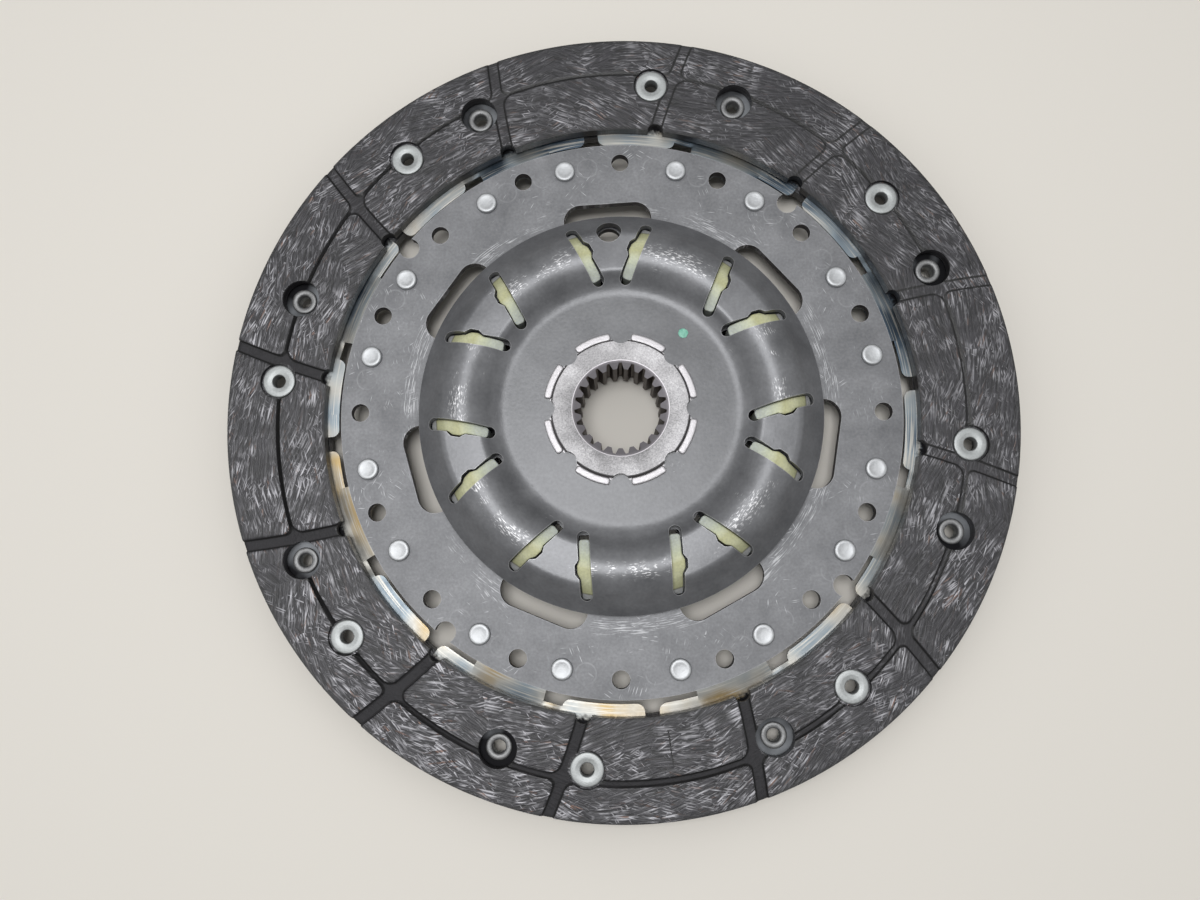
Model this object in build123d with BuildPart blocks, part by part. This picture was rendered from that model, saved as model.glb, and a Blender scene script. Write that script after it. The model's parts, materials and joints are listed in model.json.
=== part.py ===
from build123d import *
import os
from math import atan2, cos, degrees, radians, sin, sqrt, tan

# Clutch disc with a torsion damper.
#
# A splined hub carries two toroidal pressed-steel covers, staked to it. Between the covers a carrier
# plate turns a few degrees against seven coil springs. Eight waved steel segments are riveted under
# the rim of the carrier, and each holds both friction facings, one on either side.
#
# Frame: millimetres, +Z up, origin on the disc's axis at the level on which the disc lies, which is
# the crest of the flywheel-side cover. The gearbox side faces up. Heights named "..._z" are counted
# from the mid-plane of the carrier plate, about which the two covers mirror each other.

# ---------------------------------------------------------------- driving dimensions, millimetres

# Friction facings
facing_outer_r = 114.0
facing_inner_r = 85.8
facing_thickness = 3.3
groove_depth = 1.0
radial_groove_count = 12
radial_groove_width = 2.2
radial_groove_inner_angle = 22.95    # of the first groove, at the inner rim
radial_groove_outer_angle = 19.77    # of the same groove, at the outer rim
ring_groove_width = 1.9
ring_groove_half_x = 99.3            # the ring groove is an ellipse
ring_groove_half_y = 103.4
pad_inner_corner_r = 2.4
pad_outer_corner_r = 0.7
mouth_notch_r = 2.3                  # bite out of the inner rim at the mouth of each radial groove

# Rivets that hold the facings to the segments
facing_rivet_circle_r = 100.1
facing_rivet_angle = 39.6            # of the first rivet held from the gearbox side
opposite_rivet_angle = 25.05         # of the first rivet held from the flywheel side
facing_rivet_head_r = 4.2
facing_rivet_head_thickness = 0.9
facing_rivet_head_depth = 0.4        # below the friction face
facing_rivet_shank_r = 2.5
facing_rivet_bore_r = 1.75
facing_rivet_curl_r = 3.0
facing_rivet_curl_height = 0.9
facing_rivet_bevel = 0.2
facing_rivet_curl_bevel = 0.3
facing_head_clearance = 0.7
facing_curl_hole_r = 5.4

# Cushion segments
segment_count = 8
segment_angle = 22.5                 # centre of the first segment's foot
segment_thickness = 0.7
segment_cushion = 0.7                # travel between the two facings
segment_foot_inner_r = 69.6
segment_foot_half_angle = 13.4
segment_foot_corner_r = 3.0
segment_foot_setback = 0.6           # foot's edge inside the carrier's rim
segment_neck_half_angle = 7.5
segment_step_start_r = 82.4
segment_step_end_r = 84.6
segment_rim_setback = 2.6            # segments' outer edge inside the facings' rim
segment_short_wing_r = 83.0
segment_long_wing_r = 82.4
segment_short_wing_angle = -15.2     # wing ends, from the centre of the foot
segment_long_wing_angle = 27.0
segment_bend_angle = 10.2            # where the long wing lifts to the gearbox-side facing
segment_bend_width = 3.2
segment_corner_r = 2.2

# Carrier plate and the rivets at its rim
carrier_outer_r = 81.0
carrier_thickness = 2.9
rim_rivet_circle_r = 74.4
rim_rivet_half_spread = 9.7          # degrees either side of a segment's centre
rim_rivet_head_r = 3.1
rim_rivet_head_height = 1.2
rim_rivet_bevel = 0.35
rim_rivet_dish_r = 1.9
rim_rivet_dish_depth = 0.25
rim_rivet_shank_r = 2.0
rim_rivet_foot_r = 2.9
rim_rivet_foot_height = 0.9
rim_hole_circle_r = 75.4
rim_hole_count = 16
rim_hole_r = 2.6
rim_notch_circle_r = 79.6
rim_notch_count = 4
rim_notch_angle = 51.7
rim_notch_r = 3.0
kidney_outer_r = 62.8                # distance of its straight outer edge from the axis
kidney_inner_r = 57.2
kidney_half_width = 13.0
kidney_outer_corner_r = 5.0
kidney_inner_corner_r = 1.2

# Damper springs
spring_count = 7
spring_angle = 67.95                 # centre of the first spring
spring_axis_r = 44.6                 # distance of the straight coil axis from the disc's axis
spring_coil_r = 6.2                  # to the middle of the wire
spring_wire_r = 1.5
spring_coils = 5
spring_wire_sides = 6
spring_runs_per_coil = 12
spring_window_corner_r = 1.0
spring_window_inner_gap = 1.4
spring_window_outer_gap = 0.3

# Spring seats
seat_slot_offset = 12.7              # middle of a seat's back plate from the middle of its spring
seat_plate_thickness = 3.2
seat_inner_r = 36.0
seat_outer_r = 52.6
seat_nose_position_r = 44.3
seat_nose_height = 1.1
seat_nose_base_length = 5.4
seat_nose_tip_length = 2.2
seat_nose_corner_r = 0.8
seat_spigot_gap = 0.4                # spigot to the inside of the coil
seat_spigot_length = 3.0
seat_spigot_chamfer = 0.6
seat_corner_r = 0.9
seat_edge_gap = 0.1                  # seat to the edges that push it
seat_tunnel_gap = 0.3                # seat to the inside of the covers

# Damper covers, outer surface
cover_thickness = 2.2
cover_rim_gap = 0.33                 # rim of a cover to the carrier
cover_bridge_drop = 1.45             # bridge below the crest
cover_crest_r = 45.2
cover_crest_inner_bend_r = 11.0
cover_crest_outer_bend_r = 10.0
cover_toe_bend_r = 8.0
cover_flank_slope = 43.0
cover_rim_r = 58.0
cover_bridge_bend_r = 3.0
cover_slot_width = 3.4
cover_slot_inner_r = 33.7
cover_slot_outer_r = 52.9
locating_hole_circle_r = 51.5
locating_hole_r = 3.6
locating_hole_rear_r = 5.0

# Hub
hub_top_height = 2.2                 # face above the gearbox-side cover
hub_bottom_height = 3.4              # face beyond the flywheel-side cover
hub_face_outer_r = 19.7
hub_lobe_r = 20.2
hub_lobe_count = 8
hub_notch_centre_r = 21.4
hub_notch_r = 2.9
hub_flange_r = 22.6
hub_stake_r = 21.9
hub_stake_height = 0.95
hub_end_chamfer = 0.5
spline_teeth = 23
spline_major_r = 13.0
spline_minor_r = 11.3
spline_groove_width_minor = 1.95
spline_groove_width_major = 0.75
spline_lead_in_r = 13.7
spline_lead_in_depth = 1.6
hub_fit = 0.05                       # covers on the hub's lobes

# Friction pack between the carrier's inner ring and the covers
bush_thickness = 1.8
bush_running_clearance = 0.06
bush_press_gap = 0.02
friction_ring_bore_gap = 2.0         # ring to the hub's flange
friction_ring_outer_r = 31.4
friction_pack_height = 2.95
friction_ring_thin = 1.4
friction_gap = 0.1
load_spring_thickness = 0.6
load_spring_bore_gap = 2.2           # load spring to the hub's flange
load_spring_outer_r = 31.0

# ---------------------------------------------------------------- derived sizes

carrier_half = carrier_thickness / 2

friction_face_z = carrier_half + friction_gap
cover_inside_z = friction_face_z + friction_pack_height
cover_flat_z = cover_inside_z + cover_thickness
flank_start_r = cover_crest_r + cover_crest_outer_bend_r * sin(radians(cover_flank_slope))
flank_start_z = (
    carrier_half + cover_rim_gap + cover_thickness * cos(radians(cover_flank_slope))
    + (cover_rim_r - flank_start_r) * tan(radians(cover_flank_slope))
)
cover_crest_z = flank_start_z + cover_crest_outer_bend_r * (1 - cos(radians(cover_flank_slope)))
cover_bridge_z = cover_crest_z - cover_bridge_drop
mid_height = cover_crest_z           # of the carrier's mid-plane above the resting surface

hub_top_z = cover_flat_z + hub_top_height
hub_bottom_z = -cover_flat_z - hub_bottom_height
stake_z = cover_flat_z + hub_stake_height

segment_band_outer_r = facing_outer_r - segment_rim_setback
upper_sheet_z = -carrier_half - segment_thickness
lower_sheet_z = upper_sheet_z - segment_cushion
gearbox_facing_seat_z = -carrier_half
flywheel_facing_seat_z = lower_sheet_z
opposite_facing_turn = facing_rivet_angle + opposite_rivet_angle
facing_rivets_per_side = segment_count
facing_counterbore_depth = facing_rivet_head_depth + facing_rivet_head_thickness
facing_counterbore_r = facing_rivet_head_r + facing_head_clearance
rivet_hole_r = facing_rivet_shank_r + 0.1
rim_rivet_hole_r = rim_rivet_shank_r + 0.1

spring_pitch_angle = 360 / spring_count
spring_angles = [spring_angle + k * spring_pitch_angle for k in range(spring_count)]
bridge_angles = [angle + spring_pitch_angle / 2 for angle in spring_angles]
seat_spigot_r = spring_coil_r - spring_wire_r - seat_spigot_gap
seat_front = seat_slot_offset - seat_plate_thickness / 2
seat_back = seat_slot_offset + seat_plate_thickness / 2
pushing_edge = seat_back + seat_edge_gap
spring_length = 2 * seat_front
window_inner_r = seat_inner_r - spring_window_inner_gap
window_outer_r = sqrt(seat_outer_r ** 2 + seat_back ** 2) + spring_window_outer_gap
locating_hole_angle = bridge_angles[0]

bush_inner_r = hub_flange_r + bush_running_clearance
friction_ring_inner_r = hub_flange_r + friction_ring_bore_gap
load_spring_inner_r = hub_flange_r + load_spring_bore_gap
bush_outer_r = bush_inner_r + bush_thickness
carrier_bore_r = bush_outer_r + bush_press_gap


def level(z):
    """Plane at a height counted from the carrier's mid-plane."""
    return Plane.XY.offset(mid_height + z)


def turned(angle):
    """Turn about the disc's axis."""
    return Location((0, 0, 0), (0, 0, angle))


def polar_point(r, angle):
    return Vector(r * cos(radians(angle)), r * sin(radians(angle)))


def sector(r_in, r_out, angle_from, angle_to):
    """Annular sector, drawn into the current sketch."""
    with BuildLine() as outline:
        inner = CenterArc((0, 0), r_in, angle_from, angle_to - angle_from)
        outer = CenterArc((0, 0), r_out, angle_from, angle_to - angle_from)
        Line(inner @ 0, outer @ 0)
        Line(inner @ 1, outer @ 1)
    make_face(outline.edges())


def seat_nose(side, gap):
    """Nose of a seat at side (+1 or -1) along Y, widened by a gap, drawn into the current sketch."""
    base = seat_nose_base_length / 2 + gap
    top = seat_nose_tip_length / 2 + gap
    tip_y = side * (seat_back + seat_nose_height + gap)
    with BuildSketch(mode=Mode.PRIVATE) as nose:
        with BuildLine() as outline:
            Polyline(
                (seat_nose_position_r - base, side * seat_slot_offset),
                (seat_nose_position_r - base, side * seat_back),
                (seat_nose_position_r - top, tip_y),
                (seat_nose_position_r + top, tip_y),
                (seat_nose_position_r + base, side * seat_back),
                (seat_nose_position_r + base, side * seat_slot_offset),
                close=True,
            )
        make_face(outline.edges())
        fillet(nose.vertices().group_by(Axis.Y)[-1 if side > 0 else 0], seat_nose_corner_r)
    add(nose.sketch)


def save(part, name):
    part.label = name
    export_step(part, f"parts/{name}.step")


os.makedirs("parts", exist_ok=True)

# ---------------------------------------------------------------- hub
# A forging with a broached spline. Its middle flange spaces the covers. Eight lobes at either end
# pass through the covers, and their edges are staked outwards over them.

with BuildSketch() as spline_groove:
    with BuildLine():
        Polyline(
            (spline_minor_r - 1, -spline_groove_width_minor / 2),
            (spline_minor_r, -spline_groove_width_minor / 2),
            (spline_major_r, -spline_groove_width_major / 2),
            (spline_major_r, spline_groove_width_major / 2),
            (spline_minor_r, spline_groove_width_minor / 2),
            (spline_minor_r - 1, spline_groove_width_minor / 2),
            close=True,
        )
    make_face()

with BuildPart() as hub:
    with BuildSketch(Plane.XZ):
        with BuildLine():
            Polyline(
                (spline_minor_r, mid_height + hub_bottom_z),
                (hub_face_outer_r - hub_end_chamfer, mid_height + hub_bottom_z),
                (hub_face_outer_r, mid_height + hub_bottom_z + hub_end_chamfer),
                (hub_face_outer_r, mid_height - stake_z),
                (hub_stake_r, mid_height - stake_z),
                (hub_stake_r, mid_height - cover_flat_z),
                (hub_lobe_r, mid_height - cover_flat_z),
                (hub_lobe_r, mid_height - cover_inside_z),
                (hub_flange_r, mid_height - cover_inside_z),
                (hub_flange_r, mid_height + cover_inside_z),
                (hub_lobe_r, mid_height + cover_inside_z),
                (hub_lobe_r, mid_height + cover_flat_z),
                (hub_stake_r, mid_height + cover_flat_z),
                (hub_stake_r, mid_height + stake_z),
                (hub_face_outer_r, mid_height + stake_z),
                (hub_face_outer_r, mid_height + hub_top_z - hub_end_chamfer),
                (hub_face_outer_r - hub_end_chamfer, mid_height + hub_top_z),
                (spline_minor_r, mid_height + hub_top_z),
                close=True,
            )
        make_face()
    revolve(axis=Axis.Z)

    for start_z, reach in ((cover_inside_z, hub_top_z), (-cover_inside_z, hub_bottom_z)):
        with BuildSketch(level(start_z)):
            with PolarLocations(hub_notch_centre_r, hub_lobe_count):
                Circle(hub_notch_r)
        extrude(amount=reach - start_z, mode=Mode.SUBTRACT)

    with BuildSketch(level(hub_bottom_z)):
        with PolarLocations(0, spline_teeth, start_angle=90):
            add(spline_groove.sketch)
    extrude(amount=hub_top_z - hub_bottom_z, mode=Mode.SUBTRACT)

    for end_z, inward in ((hub_top_z, -1), (hub_bottom_z, 1)):
        with BuildSketch(Plane.XZ):
            with BuildLine():
                Polyline(
                    (spline_minor_r - 1, mid_height + end_z),
                    (spline_lead_in_r, mid_height + end_z),
                    (spline_minor_r - 1, mid_height + end_z + inward * spline_lead_in_depth),
                    close=True,
                )
            make_face()
        revolve(axis=Axis.Z, mode=Mode.SUBTRACT)

save(hub.part, "hub")

# ---------------------------------------------------------------- damper covers
# Deep-drawn sheet. Over each spring it is a piece of a torus. Between two springs it is a flattened
# bridge, and a slot on either side parts the two forms. The toe and the flank are common to both.

toe_centre_z = cover_flat_z + cover_toe_bend_r
crest_inner_centre_z = cover_crest_z - cover_crest_inner_bend_r
toe_to_crest = sqrt(
    (cover_crest_inner_bend_r + cover_toe_bend_r) ** 2 - (toe_centre_z - crest_inner_centre_z) ** 2
)
toe_centre_r = cover_crest_r - toe_to_crest


def flank_end(depth, start):
    """End of the flank, square to the sheet, for the surface that lies depth under the outer one."""
    length = (cover_rim_r - flank_start_r) / cos(radians(cover_flank_slope))
    lead = start - Vector(
        flank_start_r - depth * sin(radians(cover_flank_slope)),
        mid_height + flank_start_z - depth * cos(radians(cover_flank_slope)),
    )
    rest = length - lead.dot(Vector(cos(radians(cover_flank_slope)), -sin(radians(cover_flank_slope))))
    step = Vector(cos(radians(cover_flank_slope)), -sin(radians(cover_flank_slope))) * rest
    return start + step


def torus_line(depth, r_from):
    """Section over a spring, from the flat to the rim, depth under the outer surface."""
    lean = degrees(atan2(toe_centre_z - crest_inner_centre_z, toe_centre_r - cover_crest_r))
    toe = CenterArc(
        (toe_centre_r, mid_height + toe_centre_z), cover_toe_bend_r + depth, -90, lean - 90
    )
    Line((r_from, mid_height + cover_flat_z - depth), toe @ 0)
    CenterArc(
        (cover_crest_r, mid_height + crest_inner_centre_z),
        cover_crest_inner_bend_r - depth, lean, 90 - lean,
    )
    crest = CenterArc(
        (cover_crest_r, mid_height + cover_crest_z - cover_crest_outer_bend_r),
        cover_crest_outer_bend_r - depth, 90, -cover_flank_slope,
    )
    return Line(crest @ 1, flank_end(depth, crest @ 1))


def bridge_line(depth, r_from):
    """Section between two springs, from the flat to the rim, depth under the outer surface."""
    corner_z = cover_bridge_z - cover_bridge_bend_r
    inner_rise = toe_centre_z - corner_z
    inner_run = sqrt((cover_toe_bend_r + cover_bridge_bend_r) ** 2 - inner_rise ** 2)
    lean = degrees(atan2(inner_rise, -inner_run))
    toe = CenterArc(
        (toe_centre_r, mid_height + toe_centre_z), cover_toe_bend_r + depth, -90, lean - 90
    )
    Line((r_from, mid_height + cover_flat_z - depth), toe @ 0)
    inner = CenterArc(
        (toe_centre_r + inner_run, mid_height + corner_z), cover_bridge_bend_r - depth, lean, 90 - lean
    )
    slope = radians(cover_flank_slope)
    along_flank = (flank_start_z - corner_z - cover_bridge_bend_r * cos(slope)) / sin(slope)
    outer_centre_r = flank_start_r + along_flank * cos(slope) - cover_bridge_bend_r * sin(slope)
    outer = CenterArc(
        (outer_centre_r, mid_height + corner_z), cover_bridge_bend_r - depth, 90, -cover_flank_slope
    )
    Line(inner @ 1, outer @ 0)
    return Line(outer @ 1, flank_end(depth, outer @ 1))


def sheet(section, r_from):
    """Sheet of the cover's thickness under a section line, turned about the disc's axis."""
    with BuildPart() as shell:
        with BuildSketch(Plane.XZ):
            with BuildLine():
                top = section(0, r_from)
                under = section(cover_thickness, r_from)
                Line((r_from, mid_height + cover_flat_z), (r_from, mid_height + cover_inside_z))
                Line(top @ 1, under @ 1)
            make_face()
        revolve(axis=Axis.Z)
    return shell.part


cover_blank_r = hub_notch_centre_r - hub_notch_r - 1
spring_sheet = sheet(torus_line, cover_blank_r)
bridge_sheet = sheet(bridge_line, cover_blank_r)

# Over each spring the torus stands between the middles of two slots. A bay starts in the toe and
# ends in the flank, where both sections are the same.
bay_inner_r = (toe_centre_r + cover_slot_inner_r) / 2
bay_outer_r = (cover_slot_outer_r + cover_rim_r) / 2

with BuildPart() as spring_bays:
    with BuildSketch(level(0)):
        for angle in spring_angles:
            with Locations(turned(angle)):
                with Locations(((bay_inner_r + bay_outer_r) / 2, 0)):
                    Rectangle(bay_outer_r - bay_inner_r, 2 * seat_slot_offset)
    extrude(amount=cover_crest_z + 1)

with BuildSketch(level(0)) as cover_slots:
    for angle in spring_angles:
        with Locations(turned(angle)):
            for side in (1, -1):
                with Locations(((cover_slot_inner_r + cover_slot_outer_r) / 2, side * seat_slot_offset)):
                    SlotOverall(cover_slot_outer_r - cover_slot_inner_r, cover_slot_width)
                seat_nose(side, seat_edge_gap)

with BuildPart() as bridges:
    add(bridge_sheet)
    add(spring_bays.part, mode=Mode.SUBTRACT)

with BuildPart() as cover:
    add(spring_sheet)
    add(spring_bays.part, mode=Mode.INTERSECT)
    add(bridges.part)
    add(cover_slots.sketch)
    extrude(amount=cover_crest_z + 1, mode=Mode.SUBTRACT)
    with BuildSketch(level(0)):
        Circle(hub_lobe_r + hub_fit)
        with PolarLocations(hub_notch_centre_r, hub_lobe_count):
            Circle(hub_notch_r - hub_fit, mode=Mode.SUBTRACT)
    extrude(amount=cover_crest_z, mode=Mode.SUBTRACT)

with BuildPart() as front_cover:
    add(cover.part)
    with Locations(turned(locating_hole_angle)):
        with Locations((locating_hole_circle_r, 0, mid_height + cover_crest_z)):
            Hole(locating_hole_r, depth=cover_crest_z)

with BuildPart() as rear_cover:
    add(cover.part)
    with Locations(turned(locating_hole_angle)):
        with Locations((locating_hole_circle_r, 0, mid_height + cover_crest_z)):
            Hole(locating_hole_rear_r, depth=cover_crest_z)
    mirror(about=level(0), mode=Mode.REPLACE)

save(front_cover.part, "front_cover")
save(rear_cover.part, "rear_cover")

# ---------------------------------------------------------------- carrier plate
# Blanked plate. Springs stand in its windows, and the fingers between two windows push the seats. The
# outer edge of a window is an arc, which clears the seats that stand still while the plate turns.

with BuildSketch(level(0)) as spring_window:
    with Locations((window_inner_r, 0)):
        Rectangle(window_outer_r, 2 * pushing_edge, align=(Align.MIN, Align.CENTER))
    Circle(window_outer_r, mode=Mode.INTERSECT)
    fillet(spring_window.vertices(), spring_window_corner_r)
    seat_nose(1, seat_edge_gap)
    seat_nose(-1, seat_edge_gap)

with BuildSketch(level(0)) as kidney:
    with Locations((kidney_outer_r / 2, 0)):
        Rectangle(kidney_outer_r, 2 * kidney_half_width)
    Circle(kidney_inner_r, mode=Mode.SUBTRACT)
    corners = kidney.vertices().group_by(Axis.X)
    fillet(corners[-1], kidney_outer_corner_r)
    corners = kidney.vertices().group_by(Axis.X)
    fillet(corners[0], kidney_inner_corner_r)

with BuildPart() as carrier_plate:
    with BuildSketch(level(-carrier_half)):
        Circle(carrier_outer_r)
        Circle(carrier_bore_r, mode=Mode.SUBTRACT)
        with PolarLocations(rim_hole_circle_r, rim_hole_count):
            Circle(rim_hole_r, mode=Mode.SUBTRACT)
        for spread in (-rim_rivet_half_spread, rim_rivet_half_spread):
            with PolarLocations(rim_rivet_circle_r, segment_count, start_angle=segment_angle + spread):
                Circle(rim_rivet_hole_r, mode=Mode.SUBTRACT)
        with PolarLocations(rim_notch_circle_r, rim_notch_count, start_angle=rim_notch_angle):
            Circle(rim_notch_r, mode=Mode.SUBTRACT)
        with Locations(turned(locating_hole_angle)):
            with Locations((locating_hole_circle_r, 0)):
                Circle(locating_hole_r, mode=Mode.SUBTRACT)
    extrude(amount=carrier_thickness)
    for angle in spring_angles:
        with BuildSketch(level(-carrier_half)):
            with Locations(turned(angle)):
                add(spring_window.sketch_local)
            with Locations(turned(angle + spring_pitch_angle / 2)):
                add(kidney.sketch_local)
        extrude(amount=carrier_thickness, mode=Mode.SUBTRACT)

save(carrier_plate.part, "carrier_plate")

# ---------------------------------------------------------------- cushion segments
# Spring-steel blanks in two levels: foot, neck and long wing lie against the gearbox-side facing's
# level, and the band under the neck is set down to the flywheel-side facing. Angles are counted
# from the middle of the foot.


def bend_half(side):
    """Half-plane on one side of the bend line, cut out of the current sketch."""
    with Locations(turned(segment_bend_angle)):
        edge = (segment_bend_width + segment_band_outer_r) / 2
        with Locations((segment_band_outer_r / 2, side * edge)):
            Rectangle(2 * segment_band_outer_r, segment_band_outer_r, mode=Mode.INTERSECT)


# Straight bend between the two levels of a segment.
with BuildPart() as bend:
    bend_start = Plane(
        origin=polar_point(segment_step_end_r - 2, segment_bend_angle),
        x_dir=polar_point(1, segment_bend_angle + 90),
        z_dir=polar_point(1, segment_bend_angle),
    )
    with BuildSketch(bend_start):
        with BuildLine():
            Polyline(
                (-segment_bend_width / 2, mid_height + lower_sheet_z),
                (segment_bend_width / 2, mid_height + upper_sheet_z),
                (segment_bend_width / 2, mid_height + upper_sheet_z + segment_thickness),
                (-segment_bend_width / 2, mid_height + lower_sheet_z + segment_thickness),
                close=True,
            )
        make_face()
    extrude(amount=segment_band_outer_r)
    with BuildSketch(level(lower_sheet_z)):
        Circle(segment_band_outer_r)
        Circle(segment_step_end_r, mode=Mode.SUBTRACT)
    extrude(amount=segment_thickness + segment_cushion, mode=Mode.INTERSECT)

with BuildPart() as segment_blank:
    # Foot and neck.
    with BuildSketch(level(upper_sheet_z)) as foot:
        sector(
            segment_foot_inner_r, carrier_outer_r - segment_foot_setback,
            -segment_foot_half_angle, segment_foot_half_angle,
        )
        fillet(foot.vertices(), segment_foot_corner_r)
        sector(
            segment_foot_inner_r + segment_foot_corner_r, segment_step_start_r,
            -segment_neck_half_angle, segment_neck_half_angle,
        )
    extrude(amount=segment_thickness)

    # The neck steps down to the level of the flywheel-side facing.
    with BuildSketch(Plane.XZ.rotated((0, 0, -segment_neck_half_angle))):
        with BuildLine():
            Polyline(
                (segment_step_start_r, mid_height + upper_sheet_z),
                (segment_step_end_r, mid_height + lower_sheet_z),
                (segment_step_end_r, mid_height + lower_sheet_z + segment_thickness),
                (segment_step_start_r, mid_height + upper_sheet_z + segment_thickness),
                close=True,
            )
        make_face()
    revolve(axis=Axis.Z, revolution_arc=2 * segment_neck_half_angle)

    # Low band with the short wing.
    with BuildSketch(level(lower_sheet_z)) as low_band:
        sector(
            segment_short_wing_r, segment_band_outer_r,
            segment_short_wing_angle, -segment_neck_half_angle,
        )
        sector(
            segment_step_end_r, segment_band_outer_r,
            -segment_neck_half_angle, segment_long_wing_angle,
        )
        bend_half(-1)
        wing_end = low_band.vertices().sort_by(Axis.Y)[:2]
        fillet(wing_end, segment_corner_r)
    extrude(amount=segment_thickness)

    # Long wing, level with the foot.
    with BuildSketch(level(upper_sheet_z)) as long_wing:
        sector(
            segment_long_wing_r, segment_band_outer_r,
            segment_short_wing_angle, segment_long_wing_angle,
        )
        bend_half(1)
        fillet(long_wing.vertices().group_by(Axis.Y)[-1], segment_corner_r)
        inner_corners = long_wing.vertices().sort_by(lambda v: v.X ** 2 + v.Y ** 2)[:2]
        fillet(inner_corners, segment_corner_r)
    extrude(amount=segment_thickness)

    add(bend.part)

    # Holes for the rim rivets, the facing rivets and the access hole between the rim rivets.
    with BuildSketch(level(lower_sheet_z)):
        for spread in (-rim_rivet_half_spread, rim_rivet_half_spread):
            with Locations(polar_point(rim_rivet_circle_r, spread)):
                Circle(rim_rivet_hole_r)
        with Locations(polar_point(rim_hole_circle_r, 0)):
            Circle(rim_hole_r)
        with Locations(
            polar_point(facing_rivet_circle_r, facing_rivet_angle - segment_angle),
            polar_point(facing_rivet_circle_r, opposite_rivet_angle - segment_angle),
        ):
            Circle(rivet_hole_r)
    extrude(amount=segment_thickness + segment_cushion, mode=Mode.SUBTRACT)

for k in range(segment_count):
    with BuildPart() as cushion_segment:
        with Locations(turned(segment_angle + k * 360 / segment_count)):
            add(segment_blank.part)
    save(cushion_segment.part, f"cushion_segment_{k + 1}")

# ---------------------------------------------------------------- friction facings
# One moulding used twice, turned over for the other side. Pads stand between radial grooves and an
# elliptical ring groove.


def facing(seat):
    """Facing built up from its back, which lies on the seat plane."""
    pad_base = facing_thickness - groove_depth
    with BuildSketch(seat) as base:
        Circle(facing_outer_r)
        Circle(facing_inner_r, mode=Mode.SUBTRACT)
        with PolarLocations(facing_inner_r, radial_groove_count, start_angle=radial_groove_inner_angle):
            Circle(mouth_notch_r, mode=Mode.SUBTRACT)
    with BuildSketch(seat.offset(pad_base)) as ring_groove:
        Ellipse(ring_groove_half_x + ring_groove_width / 2, ring_groove_half_y + ring_groove_width / 2)
        Ellipse(
            ring_groove_half_x - ring_groove_width / 2, ring_groove_half_y - ring_groove_width / 2,
            mode=Mode.SUBTRACT,
        )
    with BuildSketch(seat.offset(pad_base)) as pads:
        Circle(facing_outer_r)
        Circle(facing_inner_r, mode=Mode.SUBTRACT)
        add(ring_groove.sketch_local, mode=Mode.SUBTRACT)
        start = polar_point(facing_inner_r, radial_groove_inner_angle)
        end = polar_point(facing_outer_r, radial_groove_outer_angle)
        lean = degrees(atan2((end - start).Y, (end - start).X))
        middle = (start + end) * 0.5
        with PolarLocations(0, radial_groove_count):
            with Locations(Location((middle.X, middle.Y, 0), (0, 0, lean))):
                Rectangle(facing_outer_r - facing_inner_r + 8, radial_groove_width, mode=Mode.SUBTRACT)
        for rim_r, corner_r in (
            (facing_inner_r, pad_inner_corner_r), (facing_outer_r, pad_outer_corner_r)
        ):
            on_rim = [v for v in pads.vertices() if abs(sqrt(v.X ** 2 + v.Y ** 2) - rim_r) < 0.01]
            fillet(on_rim, corner_r)
    with BuildPart() as lining:
        add(base.sketch)
        extrude(amount=pad_base, dir=seat.z_dir)
        add(pads.sketch)
        extrude(amount=groove_depth, dir=seat.z_dir)
        with Locations(seat.offset(facing_thickness)):
            with PolarLocations(
                facing_rivet_circle_r, facing_rivets_per_side, start_angle=facing_rivet_angle
            ):
                CounterBoreHole(rivet_hole_r, facing_counterbore_r, facing_counterbore_depth)
            with PolarLocations(
                facing_rivet_circle_r, facing_rivets_per_side, start_angle=opposite_rivet_angle
            ):
                Hole(facing_curl_hole_r)
    return lining.part


gearbox_seat = level(gearbox_facing_seat_z)
flywheel_seat = Plane(
    origin=(0, 0, mid_height + flywheel_facing_seat_z),
    x_dir=polar_point(1, opposite_facing_turn),
    z_dir=(0, 0, -1),
)
save(facing(gearbox_seat), "facing_gearbox_side")
save(facing(flywheel_seat), "facing_flywheel_side")

# ---------------------------------------------------------------- rivets
# Hollow rivets hold the facings: a flat head sunk in one facing, and a rolled edge on the segment.
# Solid rivets hold the segments under the rim of the carrier.

facing_grip = facing_thickness - facing_counterbore_depth + segment_thickness

with BuildPart() as facing_rivet:
    with BuildSketch(Plane.XZ):
        with BuildLine():
            Polyline(
                (facing_rivet_bore_r, -facing_grip - facing_rivet_curl_height),
                (facing_rivet_curl_r - facing_rivet_curl_bevel, -facing_grip - facing_rivet_curl_height),
                (facing_rivet_curl_r, -facing_grip - facing_rivet_curl_height / 2),
                (facing_rivet_curl_r - facing_rivet_bevel, -facing_grip),
                (facing_rivet_shank_r, -facing_grip),
                (facing_rivet_shank_r, 0),
                (facing_rivet_head_r, 0),
                (facing_rivet_head_r, facing_rivet_head_thickness - facing_rivet_bevel),
                (facing_rivet_head_r - facing_rivet_bevel, facing_rivet_head_thickness),
                (facing_rivet_bore_r, facing_rivet_head_thickness),
                close=True,
            )
        make_face()
    revolve(axis=Axis.Z)

for seat, name in (
    (gearbox_seat, "facing_rivets_gearbox_side"),
    (flywheel_seat, "facing_rivets_flywheel_side"),
):
    with BuildPart() as facing_rivets:
        with Locations(seat.offset(facing_thickness - facing_counterbore_depth)):
            with PolarLocations(
                facing_rivet_circle_r, facing_rivets_per_side, start_angle=facing_rivet_angle
            ):
                add(facing_rivet.part)
    save(facing_rivets.part, name)

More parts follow.
